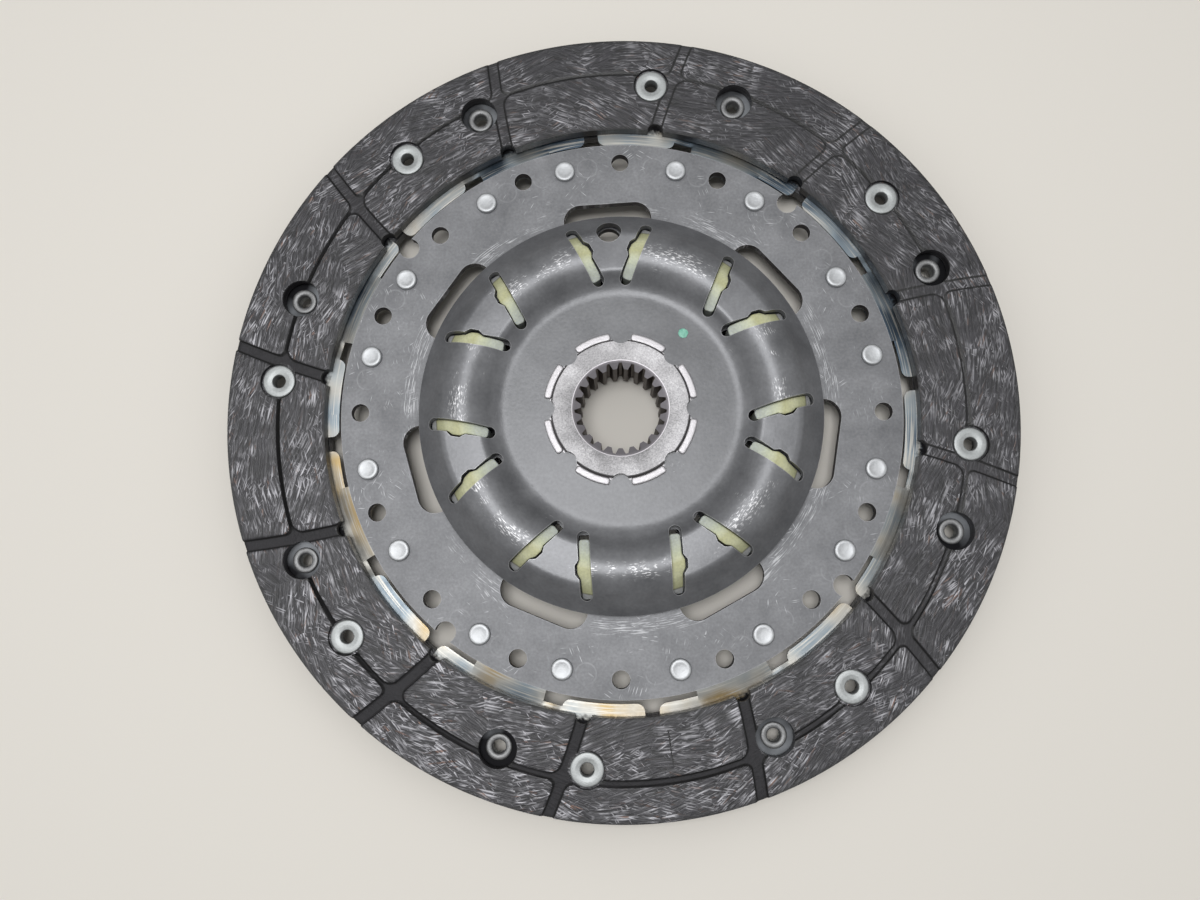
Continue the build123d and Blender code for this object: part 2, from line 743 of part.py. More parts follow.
with BuildPart() as rim_rivet:
    with BuildSketch(Plane.XZ):
        with BuildLine():
            Polyline(
                (0, upper_sheet_z - rim_rivet_foot_height),
                (rim_rivet_foot_r - rim_rivet_bevel, upper_sheet_z - rim_rivet_foot_height),
                (rim_rivet_foot_r, upper_sheet_z - rim_rivet_foot_height + rim_rivet_bevel),
                (rim_rivet_foot_r, upper_sheet_z),
                (rim_rivet_shank_r, upper_sheet_z),
                (rim_rivet_shank_r, carrier_half),
                (rim_rivet_head_r, carrier_half),
                (rim_rivet_head_r, carrier_half + rim_rivet_head_height - rim_rivet_bevel),
                (rim_rivet_head_r - rim_rivet_bevel, carrier_half + rim_rivet_head_height),
                (rim_rivet_dish_r, carrier_half + rim_rivet_head_height),
                (
                    rim_rivet_dish_r - rim_rivet_bevel,
                    carrier_half + rim_rivet_head_height - rim_rivet_dish_depth,
                ),
                (0, carrier_half + rim_rivet_head_height - rim_rivet_dish_depth),
                close=True,
            )
        make_face()
    revolve(axis=Axis.Z)

with BuildPart() as rim_rivets:
    with Locations(level(0)):
        for spread in (-rim_rivet_half_spread, rim_rivet_half_spread):
            with PolarLocations(rim_rivet_circle_r, segment_count, start_angle=segment_angle + spread):
                add(rim_rivet.part)
save(rim_rivets.part, "rim_rivets")

# ---------------------------------------------------------------- damper springs
# Straight coil springs with ground ends, of six-sided wire that turns in short straight runs, which
# keeps them light. One is drawn with its axis parallel to Y and then turned to each place.

spring_pitch = spring_length / spring_coils
coil_reach = spring_length / 2 + spring_wire_r
coil_runs = int(2 * coil_reach / spring_pitch * spring_runs_per_coil)

with BuildPart() as spring_blank:
    with BuildLine() as coil:
        Polyline(
            [
                (
                    spring_axis_r + spring_coil_r * cos(radians(360 * run / spring_runs_per_coil)),
                    -coil_reach + spring_pitch * run / spring_runs_per_coil,
                    mid_height + spring_coil_r * sin(radians(360 * run / spring_runs_per_coil)),
                )
                for run in range(coil_runs + 1)
            ]
        )
    with BuildSketch(Plane(origin=coil.line @ 0, z_dir=coil.line % 0)):
        RegularPolygon(spring_wire_r, spring_wire_sides)
    sweep(path=coil.line, transition=Transition.RIGHT)
    split(bisect_by=Plane(origin=(0, spring_length / 2, 0), z_dir=(0, -1, 0)))
    split(bisect_by=Plane(origin=(0, -spring_length / 2, 0), z_dir=(0, 1, 0)))

for k, angle in enumerate(spring_angles):
    with BuildPart() as damper_spring:
        with Locations(turned(angle)):
            add(spring_blank.part)
    save(damper_spring.part, f"damper_spring_{k + 1}")

# ---------------------------------------------------------------- spring seats
# Moulded plates at both ends of each spring. The outline of a plate follows the inside of the
# covers, a nose on its back locates it, and a spigot stands in the coil.

with BuildPart() as tunnel_core:
    with BuildSketch(Plane.XZ):
        with BuildLine() as roof:
            top = torus_line(cover_thickness + seat_tunnel_gap, seat_inner_r - seat_tunnel_gap)
            Polyline(
                (seat_inner_r - seat_tunnel_gap, mid_height + cover_inside_z - seat_tunnel_gap),
                (seat_inner_r - seat_tunnel_gap, mid_height),
                (cover_rim_r, mid_height),
                (cover_rim_r, (top @ 1).Y),
                top @ 1,
            )
        make_face()
    revolve(axis=Axis.Z)
    mirror(about=level(0))


def seat_blank(side):
    """Seat for the spring end at side (+1 or -1) along Y."""
    with BuildPart() as blank:
        with BuildSketch(level(-cover_crest_z)):
            with Locations(((seat_inner_r + seat_outer_r) / 2, side * seat_slot_offset)):
                RectangleRounded(seat_outer_r - seat_inner_r, seat_plate_thickness, seat_corner_r)
            seat_nose(side, 0)
        extrude(amount=2 * cover_crest_z)
        add(tunnel_core.part, mode=Mode.INTERSECT)
        front = Plane(origin=(spring_axis_r, side * seat_front, mid_height), z_dir=(0, -side, 0))
        with BuildSketch(front):
            Circle(seat_spigot_r)
        extrude(amount=seat_spigot_length)
        tip = blank.faces().sort_by(Axis.Y)[0 if side > 0 else -1]
        chamfer(tip.edges(), seat_spigot_chamfer)
    return blank.part


drive_seat_blank = seat_blank(-1)
coast_seat_blank = seat_blank(1)
for k, angle in enumerate(spring_angles):
    for blank, name in ((drive_seat_blank, "drive_seat"), (coast_seat_blank, "coast_seat")):
        with BuildPart() as seat:
            with Locations(turned(angle)):
                add(blank)
        save(seat.part, f"{name}_{k + 1}")

# ---------------------------------------------------------------- friction pack
# A bush in the bore of the carrier centres it on the hub's flange. A friction ring lies on either
# face of the carrier's inner ring, and a disc spring under the gearbox-side cover loads them.

with BuildPart() as centring_bush:
    with BuildSketch(level(-carrier_half)):
        Circle(bush_outer_r)
        Circle(bush_inner_r, mode=Mode.SUBTRACT)
    extrude(amount=carrier_thickness)
save(centring_bush.part, "centring_bush")

for name, bottom_z, top_z in (
    ("friction_ring_gearbox_side", friction_face_z, friction_face_z + friction_ring_thin),
    ("friction_ring_flywheel_side", -cover_inside_z, -friction_face_z),
):
    with BuildPart() as friction_ring:
        with BuildSketch(level(bottom_z)):
            Circle(friction_ring_outer_r)
            Circle(friction_ring_inner_r, mode=Mode.SUBTRACT)
        extrude(amount=top_z - bottom_z)
    save(friction_ring.part, name)

spring_bottom_z = friction_face_z + friction_ring_thin

with BuildPart() as load_spring:
    with BuildSketch(Plane.XZ):
        with BuildLine():
            Polyline(
                (load_spring_inner_r, mid_height + spring_bottom_z),
                (load_spring_outer_r, mid_height + cover_inside_z - load_spring_thickness),
                (load_spring_outer_r, mid_height + cover_inside_z),
                (load_spring_inner_r, mid_height + spring_bottom_z + load_spring_thickness),
                close=True,
            )
        make_face()
    revolve(axis=Axis.Z)
save(load_spring.part, "load_spring")
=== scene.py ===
# A clutch disc: a splined hub with two pressed covers over a ring of damper springs, a carrier plate
# between them, and two moulded friction facings riveted to waved steel segments at its rim.
# Everything is in metres in the disc's own frame, with +Z towards the gearbox.

import json
import math

import bmesh
import bpy
import numpy as np
from mathutils import Matrix, Vector

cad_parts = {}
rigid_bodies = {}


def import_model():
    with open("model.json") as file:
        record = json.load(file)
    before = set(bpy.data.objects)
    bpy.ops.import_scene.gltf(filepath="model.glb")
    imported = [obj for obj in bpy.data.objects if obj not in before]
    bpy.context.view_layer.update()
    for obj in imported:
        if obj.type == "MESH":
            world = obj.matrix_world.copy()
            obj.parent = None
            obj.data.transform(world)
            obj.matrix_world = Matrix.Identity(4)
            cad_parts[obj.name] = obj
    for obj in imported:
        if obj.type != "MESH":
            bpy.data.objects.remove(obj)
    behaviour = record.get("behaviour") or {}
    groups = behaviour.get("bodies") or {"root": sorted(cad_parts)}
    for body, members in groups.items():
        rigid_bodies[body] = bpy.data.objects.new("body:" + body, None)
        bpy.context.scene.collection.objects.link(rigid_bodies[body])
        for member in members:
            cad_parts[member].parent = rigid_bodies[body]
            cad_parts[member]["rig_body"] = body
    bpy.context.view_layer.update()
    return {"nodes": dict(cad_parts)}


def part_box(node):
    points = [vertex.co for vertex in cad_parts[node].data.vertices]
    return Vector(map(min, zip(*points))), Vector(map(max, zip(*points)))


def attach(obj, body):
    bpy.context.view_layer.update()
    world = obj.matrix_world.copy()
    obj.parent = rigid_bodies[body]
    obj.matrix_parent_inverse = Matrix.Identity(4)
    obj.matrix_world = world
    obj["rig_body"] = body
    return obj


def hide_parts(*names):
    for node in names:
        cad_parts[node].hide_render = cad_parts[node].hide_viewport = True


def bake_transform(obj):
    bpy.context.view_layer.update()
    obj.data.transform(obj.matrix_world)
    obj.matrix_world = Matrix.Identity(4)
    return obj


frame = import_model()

# -------------------- hub
# The hub is a steel forging with a broached spline. It is left bare and gets a fine granular skin
# from tumbling. Its lobes are staked out over the covers, which leaves bright upset metal.


def linear(code):
    """Linear RGBA from an sRGB hex colour."""
    parts = [int(code[i:i + 2], 16) / 255 for i in (1, 3, 5)]
    return tuple(c / 12.92 if c <= 0.04045 else ((c + 0.055) / 1.055) ** 2.4 for c in parts) + (1,)


def set_sockets(node, sockets):
    """Sets a node's inputs, from a list in their order or by name. Each takes a number, a hex colour,
    another node's socket or a node. Those of a Map Range are a value, the span it is read over and
    the two ends of its result."""
    for name, value in enumerate(sockets) if isinstance(sockets, list) else sockets.items():
        if isinstance(value, bpy.types.Node):
            value = next(s for s in value.outputs if s.enabled)
        if isinstance(value, bpy.types.NodeSocket):
            node.id_data.links.new(value, node.inputs[name])
        else:
            node.inputs[name].default_value = linear(value) if isinstance(value, str) else value


def add_node(tree, kind, sockets=None, stops=(), **settings):
    """Adds a node. A shader node's kind goes without its "ShaderNode", and a colour ramp takes stops,
    each a place from 0 to 1 and a hex colour, in rising order."""
    made = tree.nodes.new(kind if "Node" in kind else "ShaderNode" + kind)
    for name, value in settings.items():
        setattr(made, name, value)
    for index, (spot, code) in enumerate(stops):
        elements = made.color_ramp.elements
        stop = elements[index] if index < 2 else elements.new(spot)
        stop.position = spot
        stop.color = linear(code)
    set_sockets(made, sockets or {})
    return made


def new_finish(name):
    """An empty material with its principled shader and its object coordinates in millimetres."""
    finish = bpy.data.materials.new(name)
    finish.use_nodes = True
    tree = finish.node_tree
    place = add_node(tree, "TexCoord").outputs["Object"]
    mm = add_node(tree, "VectorMath", {0: place, "Scale": 1000.0}, operation="SCALE")
    return finish, tree, tree.nodes["Principled BSDF"], mm


def radius_and_turn(tree, mm):
    """Distance from the disc's axis in millimetres, angle about it, and the place on the plane."""
    place = add_node(tree, "SeparateXYZ", [mm])
    flat = add_node(tree, "CombineXYZ", [place.outputs["X"], place.outputs["Y"]])
    length = add_node(tree, "VectorMath", [flat], operation="LENGTH")
    turn = add_node(tree, "Math", [place.outputs["Y"], place.outputs["X"]], operation="ARCTAN2")
    return length.outputs["Value"], turn, flat


def tone_by_radius(tree, radius, stops):
    """A tone that follows the distance from the axis, from stops of millimetres and colours."""
    inner, outer = stops[0][0], stops[-1][0]
    share = add_node(tree, "MapRange", [radius, inner, outer])
    return add_node(tree, "ValToRGB", [share],
                    stops=[((spot_mm - inner) / (outer - inner), code) for spot_mm, code in stops])


def away_from(tree, value, middle):
    """How far a value is from a middle one, to either side."""
    gap = add_node(tree, "Math", [value, middle], operation="SUBTRACT")
    return add_node(tree, "Math", [gap], operation="ABSOLUTE")


def new_object(name, data):
    """An object that is linked to the scene."""
    made = bpy.data.objects.new(name, data)
    bpy.context.scene.collection.objects.link(made)
    return made


def mesh_of(work, name):
    """A named mesh from a bmesh, which is freed."""
    mesh = bpy.data.meshes.new(name)
    work.to_mesh(mesh)
    work.free()
    return mesh


def set_creases(mesh, crease):
    """Smooth shading, broken where two faces meet at more than the crease angle in degrees."""
    work = bmesh.new()
    work.from_mesh(mesh)
    for face in work.faces:
        face.smooth = True
    for edge in work.edges:
        edge.smooth = edge.is_manifold and edge.calc_face_angle(0) < math.radians(crease)
    work.to_mesh(mesh)
    work.free()


def stand_in(piece, name):
    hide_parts(name)
    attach(piece, frame["nodes"][name]["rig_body"])


def merged_copy(name, finish):
    """A copy of a CAD node with shared vertices, so that its curved faces shade smoothly."""
    mesh = frame["nodes"][name].data.copy()
    work = bmesh.new()
    work.from_mesh(mesh)
    bmesh.ops.remove_doubles(work, verts=work.verts, dist=2e-7)
    bmesh.ops.dissolve_degenerate(work, edges=work.edges, dist=1e-7)
    work.to_mesh(mesh)
    work.free()
    set_creases(mesh, crease=32)
    mesh.materials.clear()
    mesh.materials.append(finish)
    piece = new_object(name + "_shape", mesh)
    stand_in(piece, name)
    return piece


def polar_point(radius_mm, angle, z=0.0):
    """A point in metres, from its distance from the axis in millimetres, its angle and its height."""
    return Vector((radius_mm / 1000 * math.cos(angle), radius_mm / 1000 * math.sin(angle), z))


def skin(work, rings):
    """Faces between each ring of vertices and the next. A pole is a ring of one vertex, repeated."""
    for low, high in zip(rings, rings[1:]):
        for k in range(len(low)):
            n = (k + 1) % len(low)
            work.faces.new(list(dict.fromkeys((low[k], low[n], high[n], high[k]))))


def turned_blank(name, profile, sides=36):
    """A closed mesh turned about Z from a profile in millimetres; a point on the axis is a pole."""
    work = bmesh.new()
    rings = []
    for r, z in profile:
        if r == 0:
            rings.append([work.verts.new((0, 0, z / 1000))] * sides)
        else:
            rings.append([work.verts.new(polar_point(r, k * math.tau / sides, z / 1000))
                          for k in range(sides)])
    skin(work, rings + rings[:1] if profile[0][0] else rings)
    bmesh.ops.recalc_face_normals(work, faces=work.faces)
    mesh = mesh_of(work, name)
    set_creases(mesh, crease=50)
    return new_object(name, mesh)


def settled_mesh(piece):
    """A plain mesh of a piece as its modifiers leave it."""
    bpy.context.view_layer.update()
    return bpy.data.meshes.new_from_object(piece.evaluated_get(bpy.context.evaluated_depsgraph_get()))


def cut_away(piece, tools, crease):
    """Cuts the tools out of a piece and drops them."""
    for tool in tools:
        cut = piece.modifiers.new("cut", "BOOLEAN")
        cut.object = tool
        cut.solver = "EXACT"
    mesh = settled_mesh(piece)
    piece.modifiers.clear()
    for tool in tools:
        bpy.data.objects.remove(tool)
    piece.data = mesh
    set_creases(mesh, crease)


mid_height = sum(corner.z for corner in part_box("carrier_plate")) / 2
hub_foot, hub_top = (corner.z * 1000 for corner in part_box("hub"))

# Tumbled forged steel: light grey, with grains of about 0.4 mm. The lead-in is turned and keeps a
# bright outer edge, the broached spline is oiled and brown, and the staked lobes are bright.
forged_steel, tree, shader, mm = new_finish("tumbled_forged_steel")
radius, _, _ = radius_and_turn(tree, mm)
grain = add_node(tree, "TexNoise", {"Vector": mm, "Scale": 2.3, "Detail": 4.0, "Roughness": 0.7})
cloud = add_node(tree, "TexNoise", {"Vector": mm, "Scale": 0.16, "Detail": 3.0})
# The palest grains, whitening from 0.66 to 0.74 of the grain, are painted glints.
face_tone = add_node(tree, "ValToRGB", [grain], stops=((0.3, "#757476"), (0.66, "#B4B3B5"),
                                                       (0.74, "#E6E5E7")))
stain = add_node(tree, "MapRange", [cloud, 0.38, 0.62, 0.74, 1.06])
face_mottled = add_node(tree, "VectorMath", {0: face_tone, "Scale": stain}, operation="SCALE")
# The dark ring from 19.6 to 19.72 mm, at the foot of the staked crescents, is painted shade.
zones = tone_by_radius(tree, radius, (
    (11.0, "#3A2F2A"), (13.2, "#43372F"), (13.55, "#7A777B"), (13.6, "#CBC8CC"), (13.78, "#CBC8CC"),
    (13.84, "#8E8D8F"), (19.3, "#8E8D8F"), (19.6, "#5C595A"), (19.72, "#3F3C3D"), (19.85, "#B9B7BA"),
    (23.0, "#B9B7BA")))
# The granular face lies between the lead-in and the staked lobes, from 13.8 to 19.3 mm.
face_from_mm, face_to_mm = 13.8, 19.3
on_face = add_node(tree, "Math", [radius, (face_from_mm + face_to_mm) / 2,
                                  (face_to_mm - face_from_mm) / 2], operation="COMPARE")
hub_tone = add_node(tree, "Mix", {0: on_face, 6: zones, 7: face_mottled}, data_type="RGBA")
# The lead-in cones run from 13.7 mm at either end of the hub to 10.3 mm at 1.6 mm inside it.
cone_mouth_mm = 13.7
cone_slope = 3.4 / 1.6
height = add_node(tree, "SeparateXYZ", [mm]).outputs["Z"]
off_middle = away_from(tree, height, (hub_top + hub_foot) / 2)
cone = add_node(tree, "Math", [off_middle, cone_slope,
                               cone_mouth_mm - (hub_top - hub_foot) / 2 * cone_slope],
                operation="MULTIPLY_ADD")
off_cone = away_from(tree, radius, cone)
on_cone = add_node(tree, "MapRange", [off_cone, 0.16, 0.08])
below_lip = add_node(tree, "Math", [radius, cone_mouth_mm - 0.12], operation="LESS_THAN")
on_cone = add_node(tree, "Math", [on_cone, below_lip], operation="MULTIPLY")
hub_tone = add_node(tree, "Mix", {0: on_cone, 6: hub_tone, 7: "#7C797D"}, data_type="RGBA")
hub_rough = add_node(tree, "MapRange", [grain, 0, 1, 0.36, 0.6])
hub_bump = add_node(tree, "Bump", {"Height": grain, "Strength": 0.35, "Distance": 0.0002})
set_sockets(shader, {"Base Color": hub_tone, "Roughness": hub_rough, "Normal": hub_bump, "Metallic": 0.8})

hub = merged_copy("hub", forged_steel)
# The square rims of the lobes are taken off, and upset crescents with round ends stand in their place.
# Heights are counted from the middle of the carrier to either side.
lobe_count = 8
cover_flat_mm = 6.6
beyond_end_mm = 9
rim_inner_mm, beyond_rim_mm = 19.75, 24
stake_circle_mm = 20.85
stake_half_width_mm = 1.1
stake_length_mm = 10.4
trims = []
for low, high in ((cover_flat_mm, beyond_end_mm), (-beyond_end_mm, -cover_flat_mm)):
    trim = turned_blank("trim", ((rim_inner_mm, low), (beyond_rim_mm, low), (beyond_rim_mm, high),
                                 (rim_inner_mm, high)), sides=96)
    trim.data.transform(Matrix.Translation((0, 0, mid_height)))
    trims.append(trim)
cut_away(hub, trims, crease=32)

rng = np.random.default_rng(8)
for side, name in ((1, "stakes_gearbox_side"), (-1, "stakes_flywheel_side")):
    work = bmesh.new()
    for lobe in range(lobe_count):
        middle = (lobe + 0.5) * math.tau / lobe_count
        reach = stake_length_mm + rng.uniform(-0.3, 0.3)
        lift = rng.uniform(-0.06, 0.04)
        rings = []
        for inset, height_mm in ((0, cover_flat_mm), (0, 7.35 + lift), (0.1, 7.52 + lift),
                                 (0.3, 7.62 + lift), (0.6, 7.64 + lift)):
            corner = 0.75 * (1 - inset)
            half_long, half_wide = reach / 2 - inset, stake_half_width_mm - inset
            outline = []
            for x_sign, y_sign, start in ((1, 1, 0), (-1, 1, 90), (-1, -1, 180), (1, -1, 270)):
                for step in range(5):
                    lean = math.radians(start + step * 22.5)
                    outline.append((x_sign * (half_long - corner) + corner * math.cos(lean),
                                    y_sign * (half_wide - corner) + corner * math.sin(lean)))
                if x_sign * y_sign > 0:
                    outline += [(x_sign * (half_long - corner) * (1 - share), y_sign * half_wide)
                                for share in (0.4, 0.8, 1.2, 1.6)]
            rings.append([work.verts.new(polar_point(stake_circle_mm + y, middle + x / stake_circle_mm,
                                                     mid_height + side * height_mm / 1000))
                          for x, y in outline])
        skin(work, rings)
        work.faces.new(rings[0])
        work.faces.new(rings[-1])
    bmesh.ops.recalc_face_normals(work, faces=work.faces)
    mesh = mesh_of(work, name)
    set_creases(mesh, crease=50)
    mesh.materials.append(forged_steel)
    stand_in(new_object(name, mesh), "hub")

# -------------------- damper covers
# Each cover is deep drawn from 2.2 mm steel and then phosphated, which turns it dark grey with a
# dull sheen. Handling has rubbed bright specks along the crest of the torus over each spring.
spring_count = 7
spring_turn = math.radians(67.95)
crest_circle_mm = 45.5


def edge_wear_and_highlight(tree, radius_m, strength):
    """From 0 on flat metal to the given strength on an edge, where handling has bared the steel and a
    painted highlight lies along it.
    """
    bevel = add_node(tree, "Bevel", {"Radius": radius_m}, samples=4)
    plain = add_node(tree, "NewGeometry")
    bend = add_node(tree, "VectorMath", [bevel, plain.outputs["Normal"]], operation="DOT_PRODUCT")
    flat_cosine, edge_cosine = 0.985, 0.86
    return add_node(tree, "MapRange", [bend.outputs["Value"], flat_cosine, edge_cosine, 0, strength])


def rub_lines(tree, turn, outward, long_mm, thin_mm):
    """From 0 to 1, thin lines that run round the disc, as long as is given at 50 mm from its axis."""
    usual_radius_mm = 50
    run = add_node(tree, "Math", [turn, usual_radius_mm / long_mm], operation="MULTIPLY")
    rise = add_node(tree, "Math", [outward, thin_mm], operation="DIVIDE")
    place = add_node(tree, "CombineXYZ", [run, rise])
    lines = add_node(tree, "TexNoise", {"Vector": place, "Scale": 1.0, "Detail": 2.0, "Roughness": 0.6},
                     noise_dimensions="2D")
    return add_node(tree, "MapRange", [lines, 0.52, 0.7])


phosphate, tree, shader, mm = new_finish("phosphated_drawn_steel")
radius, turn, _ = radius_and_turn(tree, mm)
cloud = add_node(tree, "TexNoise", {"Vector": mm, "Scale": 0.09, "Detail": 4.0, "Roughness": 0.6})
crystals = add_node(tree, "TexNoise", {"Vector": mm, "Scale": 1.1, "Detail": 2.0})
tone = add_node(tree, "ValToRGB", [cloud], stops=((0.3, "#5D5E61"), (0.72, "#757679")))
fleck = add_node(tree, "MapRange", [crystals, 0.3, 0.7, 0.92, 1.08])
# The flat round the hub is painted darker than the raised torus, as painted shade.
rise = add_node(tree, "MapRange", [radius, 31.0, 38.0, 0.74])
fleck = add_node(tree, "Math", [fleck, rise], operation="MULTIPLY")
mottled = add_node(tree, "VectorMath", {0: tone, "Scale": fleck}, operation="SCALE")
# Rubbed lines 2 mm long lie in a band 5 mm wide on the crest, thick in some clusters of it.
in_band = add_node(tree, "MapRange", [away_from(tree, radius, crest_circle_mm), 3.4, 0.4])
lobes = add_node(tree, "Math", [turn, spring_count, -spring_count * spring_turn],
                 operation="MULTIPLY_ADD")
lobes = add_node(tree, "Math", [lobes], operation="COSINE")
over_spring = add_node(tree, "MapRange", [lobes, -0.5, 0.0])
cluster = add_node(tree, "TexNoise", {"Vector": mm, "Scale": 0.11, "Detail": 3.0, "Roughness": 0.7})
thick = add_node(tree, "MapRange", [cluster, 0.4, 0.56])
scratch = rub_lines(tree, turn, radius, long_mm=1.6, thin_mm=0.34)
on_crest = add_node(tree, "Math", [in_band, over_spring], operation="MULTIPLY")
on_crest = add_node(tree, "Math", [on_crest, thick], operation="MULTIPLY")
# Stray nicks lie anywhere else.
stray = add_node(tree, "MapRange", [cluster, 0.6, 0.72, 0, 0.25])
where = add_node(tree, "Math", [on_crest, stray], operation="MAXIMUM")
rub = add_node(tree, "Math", [scratch, where], operation="MULTIPLY")
rub = add_node(tree, "MapRange", [rub, 0.08, 0.5, 0, 0.85])
# Edges show bared steel with a painted highlight along them.
edge = edge_wear_and_highlight(tree, radius_m=0.00035, strength=0.4)
wear_and_highlight = add_node(tree, "Math", [rub, edge], operation="MAXIMUM")
cover_tone = add_node(tree, "Mix", {0: wear_and_highlight, 6: mottled, 7: "#D0D0D2"}, data_type="RGBA")
cover_rough = add_node(tree, "MapRange", [cloud, 0, 1, 0.3, 0.44])
cover_bump = add_node(tree, "Bump", {"Height": crystals, "Strength": 0.12, "Distance": 0.0002})
set_sockets(shader, {"Base Color": cover_tone, "Roughness": cover_rough, "Normal": cover_bump,
                     "Metallic": 0.35})

for cover in ("front_cover", "rear_cover"):
    merged_copy(cover, phosphate)

# A dab of green marking enamel, brushed on by hand, lies on the flat of the gearbox-side cover. It
# is about 3 mm across and 0.1 mm thick, glossy and a little streaky.
marking_paint, tree, shader, mm = new_finish("green_marking_enamel")
brushed = add_node(tree, "TexNoise", {"Vector": mm, "Scale": 1.6, "Detail": 3.0})
tone = add_node(tree, "Mix", {0: brushed, 6: "#2F8A72", 7: "#9AD2BF"}, data_type="RGBA")
set_sockets(shader, {"Base Color": tone, "Roughness": 0.45})

dab_circle_mm = 28.3
dab_turn = math.radians(50.75)
cover_top = 0.0067
sides = 20
dab = bmesh.new()
rng = np.random.default_rng(4)
rings = []
for size_mm, rise_mm in ((1.45, -0.02), (1.3, 0.05), (0.8, 0.08)):
    rings.append([dab.verts.new(polar_point(size_mm * (1 + wave), k * math.tau / sides, rise_mm / 1000))
                  for k, wave in enumerate(rng.uniform(-0.12, 0.08, sides))])
skin(dab, rings)
dab.faces.new(rings[-1])
dab.faces.new(list(reversed(rings[0])))
for face in dab.faces:
    face.smooth = True
mesh = mesh_of(dab, "paint_dab")
mesh.transform(Matrix.Translation(polar_point(dab_circle_mm, dab_turn, mid_height + cover_top)))
mesh.materials.append(marking_paint)
paint_dab = new_object("paint_dab", mesh)
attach(paint_dab, "hub_group")

# -------------------- damper springs
# Seven springs wound cold from oiled chrome-silicon wire, held between the covers by their seats.
# Each is in two halves, split at its middle coil.
coil_mm = 6.2
wire_mm = 1.5
axis_mm = 44.6
half_length_mm = 9.6
half_turns = 2.5

spring_steel, tree, shader, mm = new_finish("oiled_spring_wire")
film = add_node(tree, "TexNoise", {"Vector": mm, "Scale": 0.8, "Detail": 3.0})
tone = add_node(tree, "Mix", {0: film, 6: "#3A3A3C", 7: "#77777A"}, data_type="RGBA")
rough = add_node(tree, "MapRange", [film, 0, 1, 0.22, 0.42])
set_sockets(shader, {"Base Color": tone, "Roughness": rough, "Metallic": 0.9})


def new_maker(name, labels):
    """A geometry tree with the given inputs. Returns it, its inputs' identifiers and their sockets."""
    tree = bpy.data.node_groups.new(name, "GeometryNodeTree")
    tree.interface.new_socket("Geometry", in_out="OUTPUT", socket_type="NodeSocketGeometry")
    known = {}
    for label, kind, *value in labels:
        socket = tree.interface.new_socket(label, in_out="INPUT", socket_type="NodeSocket" + kind)
        if value:
            socket.default_value = value[0]
        known[label] = socket.identifier
    return tree, known, tree.nodes.new("NodeGroupInput").outputs


def made_piece(name, tree, known, **values):
    """A plain piece made by a geometry tree, from values for its inputs, named with _ for a space."""
    piece = new_object(name, bpy.data.meshes.new(name))
    modifier = piece.modifiers.new(tree.name, "NODES")
    modifier.node_group = tree
    for label, value in values.items():
        modifier[known[label.replace("_", " ")]] = value
    mesh = settled_mesh(piece)
    piece.modifiers.clear()
    piece.data = mesh
    return piece


wind, wind_inputs, given = new_maker("half_coil_spring", (
    ("Coil Radius", "Float", coil_mm / 1000), ("Wire Radius", "Float", wire_mm / 1000),
    ("Turns", "Float", half_turns), ("Length", "Float", half_length_mm / 1000),
    ("Side", "Float", 1.0), ("Turn On Disc", "Float", 0.0)))
coil = add_node(wind, "GeometryNodeCurveSpiral",
                {"Resolution": 22, "Rotations": given["Turns"], "Start Radius": given["Coil Radius"],
                 "End Radius": given["Coil Radius"], "Height": given["Length"]})
wire = add_node(wind, "GeometryNodeCurvePrimitiveCircle",
                {"Resolution": 10, "Radius": given["Wire Radius"]})
tube = add_node(wind, "GeometryNodeCurveToMesh",
                {"Curve": coil, "Profile Curve": wire, "Fill Caps": True})
# The coil rises along Z. It is laid along Y, its outer end away from the middle, and turned in place.
lean = add_node(wind, "Math", [given["Side"], -math.pi / 2], operation="MULTIPLY")
lean = add_node(wind, "CombineXYZ", [lean])
laid = add_node(wind, "GeometryNodeTransform",
                {"Geometry": tube, "Rotation": lean, "Translation": (axis_mm / 1000, 0, mid_height)})
round_axis = add_node(wind, "CombineXYZ", {"Z": given["Turn On Disc"]})
set_place = add_node(wind, "GeometryNodeTransform", {"Geometry": laid, "Rotation": round_axis})
smooth = add_node(wind, "GeometryNodeSetShadeSmooth", {"Geometry": set_place})
finished = add_node(wind, "GeometryNodeSetMaterial", {"Geometry": smooth, "Material": spring_steel})
wind.links.new(finished.outputs[0], wind.nodes.new("NodeGroupOutput").inputs[0])

for k in range(spring_count):
    on_disc = spring_turn + k * math.tau / spring_count
    out = Vector((math.cos(on_disc), math.sin(on_disc), 0))
    along = Vector((-math.sin(on_disc), math.cos(on_disc), 0))
    for side, body in ((1, "coast_seats"), (-1, "drive_seats")):
        half = made_piece(f"damper_spring_{k + 1}_{'b' if side > 0 else 'a'}", wind, wind_inputs,
                          Side=float(side), Turn_On_Disc=on_disc)
        middle = out * axis_mm / 1000 + Vector((0, 0, mid_height))
        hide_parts(f"damper_spring_{k + 1}")
        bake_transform(half)

# -------------------- spring seats
# Injection-moulded glass-filled nylon, in its natural pale yellow-green. The foot near the hub has
# bleached to a whitish grey, and the outer tip is grey beyond a thin dark line.
seat_nylon, tree, shader, mm = new_finish("natural_glass_filled_nylon")
radius, _, _ = radius_and_turn(tree, mm)
fibre = add_node(tree, "TexNoise", {"Vector": mm, "Scale": 1.5, "Detail": 3.0})
tone = tone_by_radius(tree, radius, (
    (37.0, "#D2D8D2"), (41.0, "#C9CFC1"), (43.5, "#BDC2A4"), (45.8, "#B6B68C"), (49.0, "#C8C9A6"),
    (52.3, "#B3B48E"), (52.6, "#7C7B6E"), (52.9, "#B0B1B1"), (55.0, "#A5A7A8")))
shade = add_node(tree, "MapRange", [fibre, 0.3, 0.7, 0.88, 1.08])
seat_tone = add_node(tree, "VectorMath", {0: tone, "Scale": shade}, operation="SCALE")
